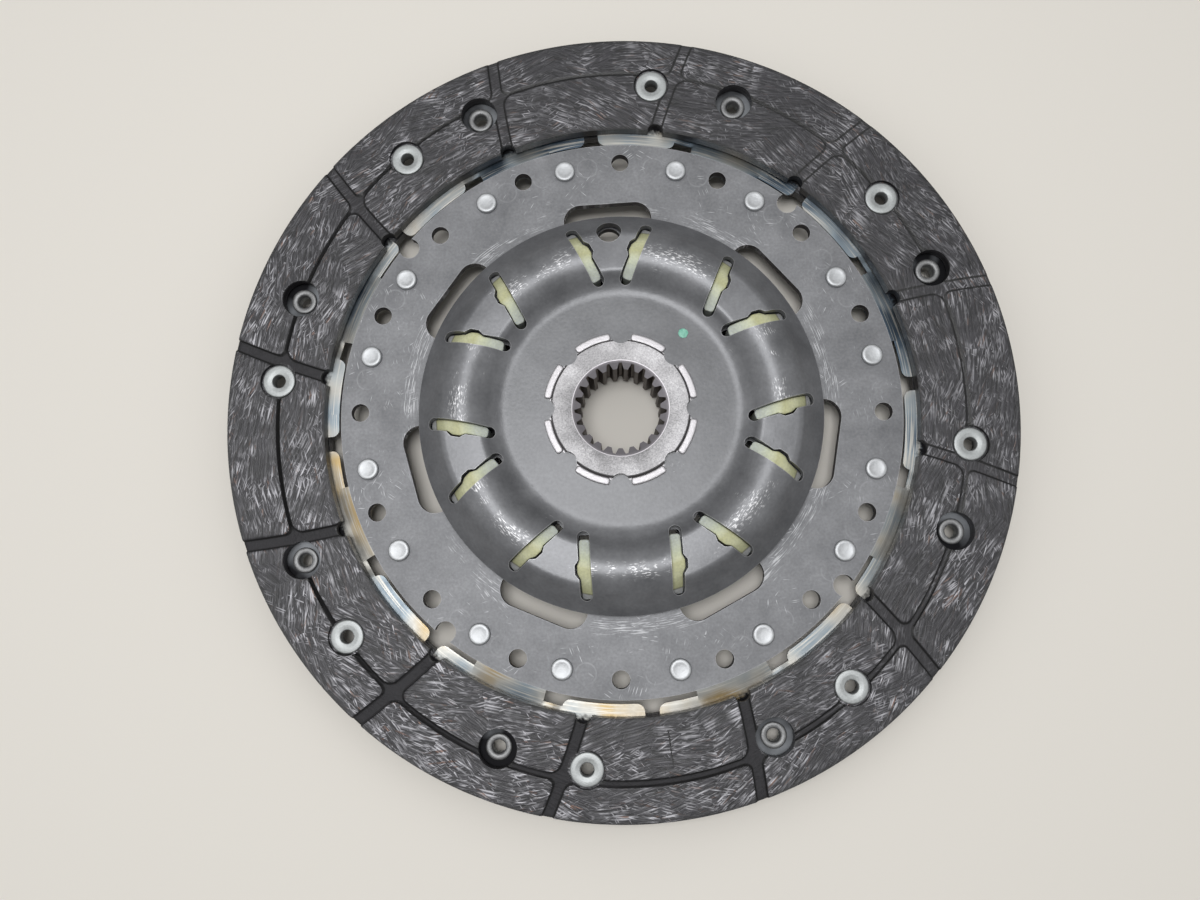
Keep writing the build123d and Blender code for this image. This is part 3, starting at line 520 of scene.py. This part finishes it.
# Every edge is rounded by the mould, to about 0.7 mm.
rounded = add_node(tree, "Bevel", {"Radius": 0.0007}, samples=6)
seat_bump = add_node(tree, "Bump", {"Height": fibre, "Strength": 0.15, "Distance": 0.0001,
                                    "Normal": rounded})
set_sockets(shader, {"Base Color": seat_tone, "Normal": seat_bump, "Roughness": 0.42,
                     "Subsurface Weight": 0.15, "Subsurface Radius": (0.001, 0.001, 0.0006)})

# The back of a seat is worn from 13.4 mm outwards, so a thin gap shows between it and its slot.
worn_from = 0.0134
worn_share = 0.28
for k in range(spring_count):
    on_disc = spring_turn + k * math.tau / spring_count
    along = Vector((-math.sin(on_disc), math.cos(on_disc), 0))
    for side, kind in ((-1, "drive"), (1, "coast")):
        seat = merged_copy(f"{kind}_seat_{k + 1}", seat_nylon)
        for vertex in seat.data.vertices:
            beyond = vertex.co.dot(along) * side - worn_from
            if beyond > 0:
                vertex.co -= along * side * beyond * worn_share

# -------------------- friction pack
# A bush and two friction rings, moulded in black filled nylon, rub on the carrier round its bore.
# They lie inside the covers, where a wavy ring of spring steel presses them together.
black_nylon, tree, shader, mm = new_finish("black_filled_nylon")
dust = add_node(tree, "TexNoise", {"Vector": mm, "Scale": 0.7, "Detail": 3.0})
tone = add_node(tree, "Mix", {0: dust, 6: "#17171A", 7: "#34343A"}, data_type="RGBA")
set_sockets(shader, {"Base Color": tone, "Roughness": 0.55})

for ring in ("centring_bush", "friction_ring_gearbox_side", "friction_ring_flywheel_side"):
    merged_copy(ring, black_nylon)
merged_copy("load_spring", spring_steel)

# -------------------- carrier plate
# Blanked from 2.9 mm plate and phosphated like the covers, but flatter and more scuffed. Wear and
# oil leave cloudy patches, pale rub marks by the rivets and a bright line of wear and painted highlight
# on every cut edge; the cut walls carry painted shade.


def strew(tree, flat, patch_mm, long_mm, thin_mm, swing, chance, seed):
    """Short straight marks in patches, each patch lying at its own angle to the run of the disc's rim.
    The angles spread over the swing, in radians, and the chance is the share of places with a mark.
    Returns how much of a mark is here from 0 to 1, a chance number for that mark, and the place
    counted along and across the marks in their own lengths and widths."""
    shift = (seed, seed * 0.7, 0)
    warp = add_node(tree, "TexNoise", {"Vector": flat, "Scale": 1.2 / patch_mm, "Detail": 2.0})
    ragged = add_node(tree, "VectorMath",
                      [warp.outputs["Color"], (patch_mm * 0.8, patch_mm * 0.8, 0), flat],
                      operation="MULTIPLY_ADD")
    ragged = add_node(tree, "VectorMath", [ragged, shift], operation="ADD")
    patch = add_node(tree, "TexVoronoi", {"Vector": ragged, "Scale": 1 / patch_mm},
                     voronoi_dimensions="2D")
    lot = add_node(tree, "SeparateColor", [patch.outputs["Color"]])
    middle = add_node(tree, "VectorMath", [patch.outputs["Position"], shift], operation="SUBTRACT")
    middle = add_node(tree, "SeparateXYZ", [middle])
    turn = add_node(tree, "Math", [middle.outputs["Y"], middle.outputs["X"]], operation="ARCTAN2")
    lean = add_node(tree, "MapRange", [lot.outputs[0], 0, 1, swing / 2 - math.pi / 2,
                                       -swing / 2 - math.pi / 2])
    lean = add_node(tree, "Math", [lean, turn], operation="SUBTRACT")
    laid = add_node(tree, "VectorRotate", {"Vector": flat, "Angle": lean}, rotation_type="Z_AXIS")
    drawn = add_node(tree, "VectorMath", [laid, (1 / long_mm, 1 / thin_mm, 0), lot],
                     operation="MULTIPLY_ADD")
    cell = add_node(tree, "TexVoronoi", {"Vector": drawn, "Scale": 1.0}, voronoi_dimensions="2D")
    mark = add_node(tree, "SeparateColor", [cell.outputs["Color"]])
    shape = add_node(tree, "MapRange", [cell.outputs["Distance"], 0.5, 0.12])
    strength = add_node(tree, "MapRange", [mark.outputs[0], 1 - chance, 1.0])
    return (add_node(tree, "Math", [shape, strength], operation="MULTIPLY"), mark.outputs[1], drawn)


def on_walls(tree, strength):
    """From 0 on level faces to the given strength on upright ones."""
    normal = add_node(tree, "NewGeometry").outputs["True Normal"]
    up = add_node(tree, "SeparateXYZ", [normal]).outputs["Z"]
    return add_node(tree, "MapRange", [away_from(tree, up, 0.0), 0.5, 0.3, 0, strength])


rubbed_circle_mm = 61.2
rim_circle_mm = 74.4
segment_count = 8
rivet_off_window = math.radians(9.7)
clamp_ring_mm = 2.9
clamp_off_rivet_mm = 6.8
blanked_phosphate, tree, shader, mm = new_finish("phosphated_blanked_steel")
radius, turn, flat = radius_and_turn(tree, mm)
cloud = add_node(tree, "TexNoise", {"Vector": mm, "Scale": 0.07, "Detail": 5.0, "Roughness": 0.65})
crystals = add_node(tree, "TexNoise", {"Vector": mm, "Scale": 1.3, "Detail": 3.0})
tone = add_node(tree, "ValToRGB", [cloud], stops=((0.3, "#616265"), (0.7, "#828386")))
fleck = add_node(tree, "MapRange", [crystals, 0.3, 0.7, 0.88, 1.12])
mottled = add_node(tree, "VectorMath", {0: tone, "Scale": fleck}, operation="SCALE")
# Handling scratches 3 mm long come in clusters between the kidney windows and the rivets.
cluster = add_node(tree, "TexNoise", {"Vector": mm, "Scale": 0.06, "Detail": 4.0, "Roughness": 0.7})
thick = add_node(tree, "MapRange", [cluster, 0.48, 0.63, 0.04, 1.0])
scratch, _, _ = strew(tree, flat, patch_mm=6.0, long_mm=3.2, thin_mm=0.26, swing=2.4, chance=0.16,
                      seed=11.0)
rub = add_node(tree, "Math", [scratch, thick], operation="MULTIPLY")
# Bright lines 5 mm long run round the disc just outside the covers, where something has rubbed it.
arcs = rub_lines(tree, turn, radius, long_mm=4.5, thin_mm=0.3)
on_track = add_node(tree, "MapRange", [away_from(tree, radius, rubbed_circle_mm), 3.2, 0.6])
track = add_node(tree, "MapRange", [cluster, 0.44, 0.56])
arcs = add_node(tree, "Math", [arcs, on_track], operation="MULTIPLY")
arcs = add_node(tree, "Math", [arcs, track], operation="MULTIPLY")
rub = add_node(tree, "Math", [rub, arcs], operation="MAXIMUM")
rub = add_node(tree, "MapRange", [rub, 0.08, 0.6, 0, 0.8])
# The riveting clamps left a faint ring to either side of each rim rivet.
half_segment = math.pi / segment_count
folded = add_node(tree, "Math", [turn, half_segment], operation="SUBTRACT")
folded = add_node(tree, "Math", [folded, half_segment], operation="PINGPONG")
beside = add_node(tree, "Math", [away_from(tree, folded, rivet_off_window), rim_circle_mm],
                  operation="MULTIPLY")
beside = add_node(tree, "Math", [beside, clamp_off_rivet_mm], operation="SUBTRACT")
outward = add_node(tree, "Math", [radius, rim_circle_mm], operation="SUBTRACT")
to_clamp = add_node(tree, "CombineXYZ", [beside, outward])
to_clamp = add_node(tree, "VectorMath", [to_clamp], operation="LENGTH")
ring = add_node(tree, "Math", [to_clamp.outputs["Value"], clamp_ring_mm, 0.22], operation="COMPARE")
here = add_node(tree, "MapRange", [cluster, 0.46, 0.66, 0, 0.2])
ring = add_node(tree, "Math", [ring, here], operation="MULTIPLY")
rub = add_node(tree, "Math", [rub, ring], operation="MAXIMUM")
# Cut edges show bared steel with a painted highlight along them.
edge = edge_wear_and_highlight(tree, radius_m=0.0003, strength=0.55)
wear_and_highlight = add_node(tree, "Math", [rub, edge], operation="MAXIMUM")
# The walls of the punched windows and holes are painted nearly black, as painted shade.
painted_wall_shade = on_walls(tree, strength=0.8)
mottled = add_node(tree, "Mix", {0: painted_wall_shade, 6: mottled, 7: "#2C2725"}, data_type="RGBA")
plate_tone = add_node(tree, "Mix", {0: wear_and_highlight, 6: mottled, 7: "#B9BABD"}, data_type="RGBA")
plate_rough = add_node(tree, "MapRange", [cloud, 0, 1, 0.42, 0.6])
plate_bump = add_node(tree, "Bump", {"Height": crystals, "Strength": 0.12, "Distance": 0.0002})
set_sockets(shader, {"Base Color": plate_tone, "Roughness": plate_rough, "Normal": plate_bump,
                     "Metallic": 0.35})

merged_copy("carrier_plate", blanked_phosphate)

# -------------------- cushion segments
# Thin segments, pressed wavy from spring steel and riveted by their feet under the carrier. They are
# left bare, and heat has tinted them blue and straw by the facings.
tempered_steel, tree, shader, mm = new_finish("heat_tinted_spring_steel")
tint = add_node(tree, "TexNoise", {"Vector": mm, "Scale": 0.06, "Detail": 2.0})
radius, turn, _ = radius_and_turn(tree, mm)
warm = add_node(tree, "Math", [turn, math.radians(95)], operation="ADD")
warm = add_node(tree, "Math", [warm], operation="COSINE")
tint = add_node(tree, "Math", [warm, 0.1, tint], operation="MULTIPLY_ADD")
tone = add_node(tree, "ValToRGB", [tint], stops=((0.3, "#4F5C69"), (0.42, "#828C93"), (0.58, "#A3A19B"),
                                                 (0.72, "#A08C66")))
# Lining dust has blackened what lies under the facings.
brush = add_node(tree, "TexNoise", {"Vector": mm, "Scale": 1.2, "Detail": 3.0})
ragged = add_node(tree, "Math", [brush, 3.0, radius], operation="MULTIPLY_ADD")
dusty = add_node(tree, "MapRange", [ragged, 87.3, 89.0])
# At the bottom of the rivet holes, from 94 mm outwards, it is in patches.
patch = add_node(tree, "TexNoise", {"Vector": mm, "Scale": 0.05, "Detail": 3.0})
patch = add_node(tree, "MapRange", [patch, 0.42, 0.58])
outer = add_node(tree, "Math", [radius, 94.0], operation="GREATER_THAN")
patch = add_node(tree, "Math", [patch, outer], operation="MULTIPLY")
dust = add_node(tree, "Mix", {0: patch, 6: "#1F1F21", 7: "#83868A"}, data_type="RGBA")
lines = rub_lines(tree, turn, radius, long_mm=12.0, thin_mm=0.5)
tone = add_node(tree, "Mix", {0: lines, 6: tone, 7: "#B7B5AF"}, data_type="RGBA")
segment_tone = add_node(tree, "Mix", {0: dusty, 6: tone, 7: dust}, data_type="RGBA")
rough = add_node(tree, "MapRange", [brush, 0, 1, 0.34, 0.5])
segment_rough = add_node(tree, "Mix", {0: dusty, 2: rough, 3: 0.6}, data_type="FLOAT")
set_sockets(shader, {"Base Color": segment_tone, "Roughness": segment_rough, "Metallic": 1.0})

for k in range(segment_count):
    merged_copy(f"cushion_segment_{k + 1}", tempered_steel)

# -------------------- rim rivets
# Sixteen solid steel rivets, two to a segment, hold the segments' feet under the carrier. They are
# cold headed and left bright, and the setting tool has dented their low domes.
headed_steel, tree, shader, mm = new_finish("cold_headed_bright_steel")
dents = add_node(tree, "TexNoise", {"Vector": mm, "Scale": 1.4, "Detail": 3.0, "Roughness": 0.7})
tone = add_node(tree, "Mix", {0: dents, 6: "#97999C", 7: "#C2C4C6"}, data_type="RGBA")
rough = add_node(tree, "MapRange", [dents, 0, 1, 0.4, 0.6])
bump = add_node(tree, "Bump", {"Height": dents, "Strength": 0.2, "Distance": 0.0002})
set_sockets(shader, {"Base Color": tone, "Roughness": rough, "Normal": bump, "Metallic": 0.9})

# Rivets stand on a circle, each turned by chance about its own axis.
rivet_ring, ring_inputs, given = new_maker("rivet_ring", (
    ("Blank", "Object"), ("Count", "Int"), ("Circle Radius", "Float"), ("First Turn", "Float"),
    ("Height", "Float"), ("Turn Over", "Float"), ("Finish", "Material")))
circle = add_node(rivet_ring, "GeometryNodeMeshCircle",
                  {"Vertices": given["Count"], "Radius": given["Circle Radius"]})
first = add_node(rivet_ring, "CombineXYZ", {"Z": given["First Turn"]})
up = add_node(rivet_ring, "CombineXYZ", {"Z": given["Height"]})
spots = add_node(rivet_ring, "GeometryNodeTransform",
                 {"Geometry": circle, "Rotation": first, "Translation": up})
blank = add_node(rivet_ring, "GeometryNodeObjectInfo", {"Object": given["Blank"]})
chance = add_node(rivet_ring, "FunctionNodeRandomValue", {2: 0.0, 3: math.tau, "Seed": 7},
                  data_type="FLOAT")
spin = add_node(rivet_ring, "CombineXYZ", {"X": given["Turn Over"], "Z": chance})
stood = add_node(rivet_ring, "GeometryNodeInstanceOnPoints",
                 {"Points": spots, "Instance": blank.outputs["Geometry"], "Rotation": spin})
real = add_node(rivet_ring, "GeometryNodeRealizeInstances", {"Geometry": stood})
finished = add_node(rivet_ring, "GeometryNodeSetMaterial",
                    {"Geometry": real, "Material": given["Finish"]})
rivet_ring.links.new(finished.outputs[0], rivet_ring.nodes.new("NodeGroupOutput").inputs[0])

rim_rivet = turned_blank("rim_rivet", (
    (0, 2.52), (0.8, 2.53), (1.5, 2.56), (1.9, 2.63), (2.2, 2.66), (2.6, 2.64), (2.88, 2.54),
    (3.04, 2.34), (3.1, 2.1), (3.1, 1.45), (2.0, 1.45), (2.0, -2.15), (2.9, -2.15), (2.9, -2.7),
    (2.7, -2.98), (2.4, -3.05), (0, -3.05)))
for side, name in ((-1, "rim_rivets_left"), (1, "rim_rivets_right")):
    rivets = made_piece(name, rivet_ring, ring_inputs, Blank=rim_rivet, Count=segment_count,
                        Circle_Radius=rim_circle_mm / 1000, Height=mid_height, Turn_Over=0.0,
                        First_Turn=half_segment + side * rivet_off_window, Finish=headed_steel)
    stand_in(rivets, "rim_rivets")

# -------------------- friction facings
# Each facing is wound from resin-bonded glass and copper yarn and hot pressed. Its ground face shows
# the cut yarn as short crossing streaks. Skewed radial grooves and one ring groove part its pads.
facing_outer_mm = 114.0
facing_inner_mm = 85.8
facing_thick_mm = 3.3
groove_count = 12
groove_turn = math.radians(22.95)
groove_skew = math.radians(-3.18)
head_turn = math.radians(39.6)
curl_turn = math.radians(25.05)
rivet_circle_mm = 100.1
rivet_count = 8
head_seat_mm = 1.3
ring_short_mm = 99.3
ring_long_mm = 103.4

friction_yarn, tree, shader, mm = new_finish("wound_yarn_friction_lining")
radius, turn, flat = radius_and_turn(tree, mm)
fine = add_node(tree, "TexNoise", {"Vector": mm, "Scale": 1.6, "Detail": 4.0, "Roughness": 0.7})
broad = add_node(tree, "TexNoise", {"Vector": mm, "Scale": 0.12, "Detail": 3.0, "Roughness": 0.6})
flare = add_node(tree, "MapRange", [broad, 0.42, 0.63, 0.14, 1.35])
long_yarn, _, along = strew(tree, flat, patch_mm=15.0, long_mm=7.5, thin_mm=0.72, swing=1.0,
                            chance=0.36, seed=0.0)
mid_yarn, mid_lot, _ = strew(tree, flat, patch_mm=10.0, long_mm=4.6, thin_mm=0.5, swing=1.4,
                             chance=0.34, seed=31.0)
short_yarn, _, _ = strew(tree, flat, patch_mm=6.0, long_mm=2.2, thin_mm=0.34, swing=2.2, chance=0.2,
                         seed=57.0)
bed = add_node(tree, "TexNoise", {"Vector": along, "Scale": 0.9, "Detail": 3.0, "Roughness": 0.65},
               noise_dimensions="2D")
tone = add_node(tree, "ValToRGB", [bed], stops=((0.34, "#121215"), (0.68, "#323136")))
# Loose wisps of fibre flow between the cut ends of the yarn.
wisp = add_node(tree, "TexNoise", {"Vector": along, "Scale": 1.7, "Detail": 3.0, "Roughness": 0.6,
                                   "Distortion": 0.35}, noise_dimensions="2D")
wisp = add_node(tree, "MapRange", [wisp, 0.54, 0.74, 0, 0.7])
yarn = long_yarn
for more in (mid_yarn, short_yarn, wisp):
    yarn = add_node(tree, "Math", [yarn, more], operation="MAXIMUM")
yarn = add_node(tree, "Math", [yarn, flare], operation="MULTIPLY")
# The yarn is painted brighter towards the side where the grooves are deep, as a painted sheen.
painted_sheen_turn = math.radians(-125)
painted_sheen = add_node(tree, "Math", [turn, painted_sheen_turn], operation="SUBTRACT")
painted_sheen = add_node(tree, "Math", [painted_sheen], operation="COSINE")
painted_sheen = add_node(tree, "MapRange", [painted_sheen, -1.0, 1, 0.54, 1.12])
yarn = add_node(tree, "Math", [yarn, painted_sheen], operation="MULTIPLY", use_clamp=True)
copper = add_node(tree, "MapRange", [mid_lot, 0.9, 0.94])
yarn_tone = add_node(tree, "Mix", {0: copper, 6: "#BCBBC1", 7: "#8A7167"}, data_type="RGBA")
face_tone = add_node(tree, "Mix", {0: yarn, 6: tone, 7: yarn_tone}, data_type="RGBA")
# Below the ground face the lining is raw, black and dull.
depth = add_node(tree, "Attribute", attribute_name="depth")
sunk = add_node(tree, "MapRange", [depth.outputs["Fac"], 0.12, 0.75])
raw_tone = add_node(tree, "Mix", {0: fine, 6: "#111113", 7: "#353438"}, data_type="RGBA")
lining_tone = add_node(tree, "Mix", {0: sunk, 6: face_tone, 7: raw_tone}, data_type="RGBA")
# A thin black line, about 0.5 mm wide and a little ragged, runs round every pad.
inside = add_node(tree, "Attribute", attribute_name="inside")
ragged = add_node(tree, "Math", [fine, 0.5, inside.outputs["Fac"]], operation="MULTIPLY_ADD")
outline = add_node(tree, "MapRange", [away_from(tree, ragged, 0.2), 0.46, 0.2])
# One inner pad of the gearbox side is cracked, from its ring groove for 9 mm towards the axis.
crack_turn = math.radians(-81.4)
crack_middle_mm, crack_half_mm = 94.6, 4.8
height = add_node(tree, "SeparateXYZ", [mm]).outputs["Z"]
crack = add_node(tree, "Math", [fine, 0.012, turn], operation="MULTIPLY_ADD")
crack = add_node(tree, "Math", [crack, crack_turn, 0.0022], operation="COMPARE")
along_crack = add_node(tree, "Math", [radius, crack_middle_mm, crack_half_mm], operation="COMPARE")
crack = add_node(tree, "Math", [crack, along_crack], operation="MULTIPLY")
on_top = add_node(tree, "Math", [height, mid_height * 1000], operation="GREATER_THAN")
crack = add_node(tree, "Math", [crack, on_top], operation="MULTIPLY")
outline = add_node(tree, "Math", [outline, crack], operation="MAXIMUM")
# Oil and dust darken the last millimetre at either rim, and the band is partly painted shade.
off_middle = away_from(tree, radius, (facing_inner_mm + facing_outer_mm) / 2)
off_middle = add_node(tree, "Math", [fine, 0.8, off_middle], operation="MULTIPLY_ADD")
at_rim = add_node(tree, "MapRange", [off_middle, 13.4, 14.3, 0, 0.8])
outline = add_node(tree, "Math", [outline, at_rim], operation="MAXIMUM")
lining_tone = add_node(tree, "Mix", {0: outline, 6: lining_tone, 7: "#0B0B0C"}, data_type="RGBA")
# On its turned rims the winding shows edge-on, as lines that run round.
lines = rub_lines(tree, turn, height, long_mm=6.0, thin_mm=0.4)
rim_tone = add_node(tree, "Mix", {0: lines, 6: "#1C1B1D", 7: "#4B494D"}, data_type="RGBA")
lining_tone = add_node(tree, "Mix", {0: on_walls(tree, strength=1.0), 6: lining_tone, 7: rim_tone},
                       data_type="RGBA")
gloss = add_node(tree, "MapRange", [yarn, 0, 1, 0.46, 0.26])
lining_rough = add_node(tree, "Mix", {0: sunk, 2: gloss, 3: 0.75}, data_type="FLOAT")
relief = add_node(tree, "Math", [bed, yarn], operation="ADD")
relief = add_node(tree, "Math", [fine, 0.4, relief], operation="MULTIPLY_ADD")
lining_bump = add_node(tree, "Bump", {"Height": relief, "Strength": 0.5, "Distance": 0.0003})
set_sockets(shader, {"Base Color": lining_tone, "Roughness": lining_rough, "Normal": lining_bump})


def ring_groove_mm(angle):
    """Distance of the ring groove from the axis; it is an ellipse."""
    return ring_short_mm * ring_long_mm / np.hypot(ring_long_mm * np.cos(angle),
                                                   ring_short_mm * np.sin(angle))


def facing_mesh(name):
    """One facing with its seat at z 0 and its ground face up, as a closed mesh in millimetres."""
    # Rows and columns are dense by a groove, at these distances from its middle, and evenly spread
    # between two grooves.
    one_side = (0.6, 0.9, 1.15, 1.4, 1.7, 2.1, 2.6, 3.2, 3.9, 4.7)
    near = np.array([-u for u in reversed(one_side)] + [0, *one_side])
    columns = []
    for k in range(groove_count):
        columns += [(k, u, 0.0) for u in near]
        columns += [(k, 0.0, s) for s in np.linspace(0, 1, 25)[1:-1]]
    ring_near = near[2:-2]
    rows = [("in", s) for s in np.linspace(0, 1, 13)[:-1]] + [("at", v) for v in ring_near] \
        + [("out", s) for s in np.linspace(0, 1, 11)[1:]]
    # Half widths of the radial grooves and of the ring groove, which is widest at one side of the disc.
    half_radial = 1.6
    half_ring_least, half_ring_more, wide_turn = 0.32, 0.5, math.radians(290)
    # On the far half of the facing wear has nearly closed the grooves.
    groove_depth, worn_off, worn_turn = 1.0, 0.85, math.radians(50)
    inner_corner, outer_corner, wall_half = 3.0, 2.2, 0.5
    far_inside = 3.0  # nothing on a pad changes past this distance from its edge
    points, depths, insides = [], [], []
    for kind, value in rows:
        for k, u, share in columns:
            middle = groove_turn + k * math.tau / groove_count
            # The distance from the axis and the angle depend on each other, so they close in by turns.
            guess = 95.0
            for _ in range(3):
                skew = groove_skew * (guess - facing_inner_mm) / (facing_outer_mm - facing_inner_mm)
                if share:
                    start = middle + skew + near[-1] / guess
                    stop = middle + skew + math.tau / groove_count + near[0] / guess
                    angle = start + share * (stop - start)
                else:
                    angle = middle + skew + u / guess
                groove = float(ring_groove_mm(angle))
                if kind == "in":
                    guess = facing_inner_mm + value * (groove + ring_near[0] - facing_inner_mm)
                elif kind == "at":
                    guess = groove + value
                else:
                    guess = groove + ring_near[-1] + value * (facing_outer_mm - groove - ring_near[-1])
            worn = 0.5 + 0.5 * math.cos(angle - worn_turn)
            half_ring = half_ring_least + half_ring_more * max(0, math.cos(angle - wide_turn))
            deep = groove_depth - worn_off * worn
            across = near[-1] + min(share, 1 - share) * 40 if share else abs(u)
            # How far inside its pad a point lies, with the pad's corners rounded.
            a, b = across - half_radial, abs(guess - groove) - half_ring
            corner = inner_corner if guess < groove else outer_corner
            inside = min(corner - math.hypot(max(corner - a, 0), max(corner - b, 0)), a, b)
            dip = min(max(0.5 - inside / wall_half, 0), 1)
            dip = dip * dip * (3 - 2 * dip) * deep
            points.append((guess * math.cos(angle), guess * math.sin(angle), facing_thick_mm - dip))
            depths.append(dip)
            insides.append(min(inside, far_inside))
    count, wide = len(columns), len(rows)
    faces = []
    for j in range(wide - 1):
        for i in range(count):
            n = (i + 1) % count
            faces.append((j * count + i, (j + 1) * count + i, (j + 1) * count + n, j * count + n))
    # The seat and the two rims close the body.
    for j in (0, wide - 1):
        for i in range(count):
            x, y, _ = points[j * count + i]
            points.append((x, y, 0.0))
            depths.append(0.0)
            insides.append(far_inside)
    inner, outer = wide * count, (wide + 1) * count
    for i in range(count):
        n = (i + 1) % count
        faces.append((i, n, inner + n, inner + i))
        faces.append(((wide - 1) * count + n, (wide - 1) * count + i, outer + i, outer + n))
        faces.append((inner + i, inner + n, outer + n, outer + i))
    mesh = bpy.data.meshes.new(name)
    mesh.from_pydata([(x / 1000, y / 1000, z / 1000) for x, y, z in points], [], faces)
    mesh.attributes.new("depth", "FLOAT", "POINT").data.foreach_set("value", depths)
    mesh.attributes.new("inside", "FLOAT", "POINT").data.foreach_set("value", insides)
    return mesh


def drill(name, turn_from, radius_mm, foot_mm=-1, circle_mm=rivet_circle_mm, count=rivet_count):
    """A ring of drills for the holes of a facing, as a closed mesh that reaches up past its face."""
    top_mm = 5
    work = bmesh.new()
    for k in range(count):
        place = polar_point(circle_mm, turn_from + k * math.tau / count, (foot_mm + top_mm) / 2000)
        bmesh.ops.create_cone(work, cap_ends=True, segments=40, radius1=radius_mm / 1000,
                              radius2=radius_mm / 1000, depth=(top_mm - foot_mm) / 1000,
                              matrix=Matrix.Translation(place))
    return new_object(name, mesh_of(work, name))


for node, over in (("facing_gearbox_side", False), ("facing_flywheel_side", True)):
    low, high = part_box(node)
    body = new_object(node + "_shape", facing_mesh(node))
    drills = (drill("shank_drill", head_turn, radius_mm=2.6),
              drill("head_drill", head_turn, radius_mm=5.25, foot_mm=facing_thick_mm - head_seat_mm),
              drill("curl_drill", curl_turn, radius_mm=5.4),
              drill("mouth_drill", groove_turn, radius_mm=2.3, circle_mm=facing_inner_mm,
                    count=groove_count))
    cut_away(body, drills, crease=40)
    mesh = body.data
    # One moulding serves both sides: on the flywheel side it is turned over about a line in its plane.
    if over:
        mesh.transform(Matrix.Rotation(head_turn + curl_turn, 4, "Z") @ Matrix.Rotation(math.pi, 4, "X"))
    mesh.transform(Matrix.Translation((0, 0, high.z if over else low.z)))
    mesh.materials.clear()
    mesh.materials.append(friction_yarn)
    stand_in(body, node)

# -------------------- facing rivets
# Tubular rivets of zinc-plated steel, eight from either side. The flat head sits in one facing's
# counterbore, and the end is curled over the segments, deep in a wider hole of the other facing.
zinc, tree, shader, mm = new_finish("zinc_plated_steel")
spots = add_node(tree, "TexNoise", {"Vector": mm, "Scale": 1.6, "Detail": 4.0, "Roughness": 0.75})
tone = add_node(tree, "Mix", {0: spots, 6: "#85898A", 7: "#C2C5C5"}, data_type="RGBA")
rough = add_node(tree, "MapRange", [spots, 0, 1, 0.4, 0.62])
bump = add_node(tree, "Bump", {"Height": spots, "Strength": 0.25, "Distance": 0.0002})
# Lining dust has dulled the curled ends, which all lie within 1 mm of the segments' own middle.
segment_drop_mm = 2.15
height = add_node(tree, "SeparateXYZ", [mm]).outputs["Z"]
off_middle = away_from(tree, height, mid_height * 1000 - segment_drop_mm)
curled = add_node(tree, "MapRange", [off_middle, 1.3, 1.0])
dull_tone = add_node(tree, "Mix", {0: spots, 6: "#555556", 7: "#A9AAAB"}, data_type="RGBA")
zinc_tone = add_node(tree, "Mix", {0: curled, 6: tone, 7: dull_tone}, data_type="RGBA")
set_sockets(shader, {"Base Color": zinc_tone, "Roughness": rough, "Normal": bump, "Metallic": 0.8})

facing_rivet = turned_blank("facing_rivet", (
    (1.9, 0.5), (1.98, 0.7), (2.2, 0.79), (2.8, 0.81), (3.05, 0.88), (3.35, 0.9), (4.3, 0.88),
    (4.62, 0.8), (4.75, 0.6), (4.75, 0), (2.5, 0), (2.5, -2.7), (3.0, -2.75), (3.5, -2.95),
    (3.68, -3.2), (3.6, -3.42), (3.3, -3.56), (2.9, -3.6), (2.45, -3.55), (2.1, -3.4), (1.92, -3.12)))
plane_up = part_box("facing_gearbox_side")[1].z - head_seat_mm / 1000
plane_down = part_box("facing_flywheel_side")[0].z + head_seat_mm / 1000
for name, node, first_turn, plane, over in (
        ("facing_rivets_heads_up", "facing_rivets_gearbox_side", head_turn, plane_up, 0.0),
        ("facing_rivets_heads_down", "facing_rivets_flywheel_side", curl_turn, plane_down, math.pi)):
    rivets = made_piece(name, rivet_ring, ring_inputs, Blank=facing_rivet, Count=rivet_count,
                        Circle_Radius=rivet_circle_mm / 1000, First_Turn=first_turn, Height=plane,
                        Turn_Over=over, Finish=zinc)
    stand_in(rivets, node)
for blank_object in (rim_rivet, facing_rivet):
    bpy.data.objects.remove(blank_object)

# -------------------- floor, light and camera
# The disc lies on a plain pale floor, 4 m square and painted matt, under one small lamp overhead and
# three broad soft ones. It is seen from above and a little from its near side.
floor = new_object("floor", bpy.data.meshes.new("floor"))
floor.data.from_pydata([(-2, -2, 0), (2, -2, 0), (2, 2, 0), (-2, 2, 0)], [], [(0, 1, 2, 3)])
floor_paint, _, shader, _ = new_finish("pale_matt_paint")
set_sockets(shader, {"Base Color": "#DAD6CF", "Roughness": 0.9})
floor.data.materials.append(floor_paint)

for name, spot, size, watts in (
        ("key", (-0.06, 0.0, 0.8), 0.3, 3.4), ("back", (0.0, 0.55, 0.9), 0.9, 1.7),
        ("left", (-0.8, -0.1, 0.8), 0.9, 2.2), ("right", (0.8, -0.1, 0.8), 0.9, 1.7)):
    lamp = bpy.data.lights.new(name, "AREA")
    lamp.size = size
    lamp.energy = watts
    holder = new_object(name, lamp)
    holder.location = spot
    holder.rotation_euler = (-Vector(spot)).to_track_quat("-Z", "Y").to_euler()

world = bpy.data.worlds.new("studio")
bpy.context.scene.world = world
world.use_nodes = True
set_sockets(world.node_tree.nodes["Background"], {"Color": "#F2F2F0", "Strength": 0.32})

bpy.context.scene.view_settings.view_transform = "Standard"

eye = bpy.data.cameras.new("camera")
eye.sensor_width = 36.0
eye.lens = 27.9
eye.clip_start = 0.01
camera = new_object("camera", eye)
eye_height = 0.26605
camera.location = (-0.0004, -0.0447, mid_height + eye_height)
tilt = Vector((math.radians(7.26), math.radians(1.19), math.radians(-0.05)))
camera.rotation_mode = "QUATERNION"
camera.rotation_quaternion = Matrix.Rotation(tilt.length, 3, tilt.normalized()).to_quaternion()
bpy.context.scene.camera = camera
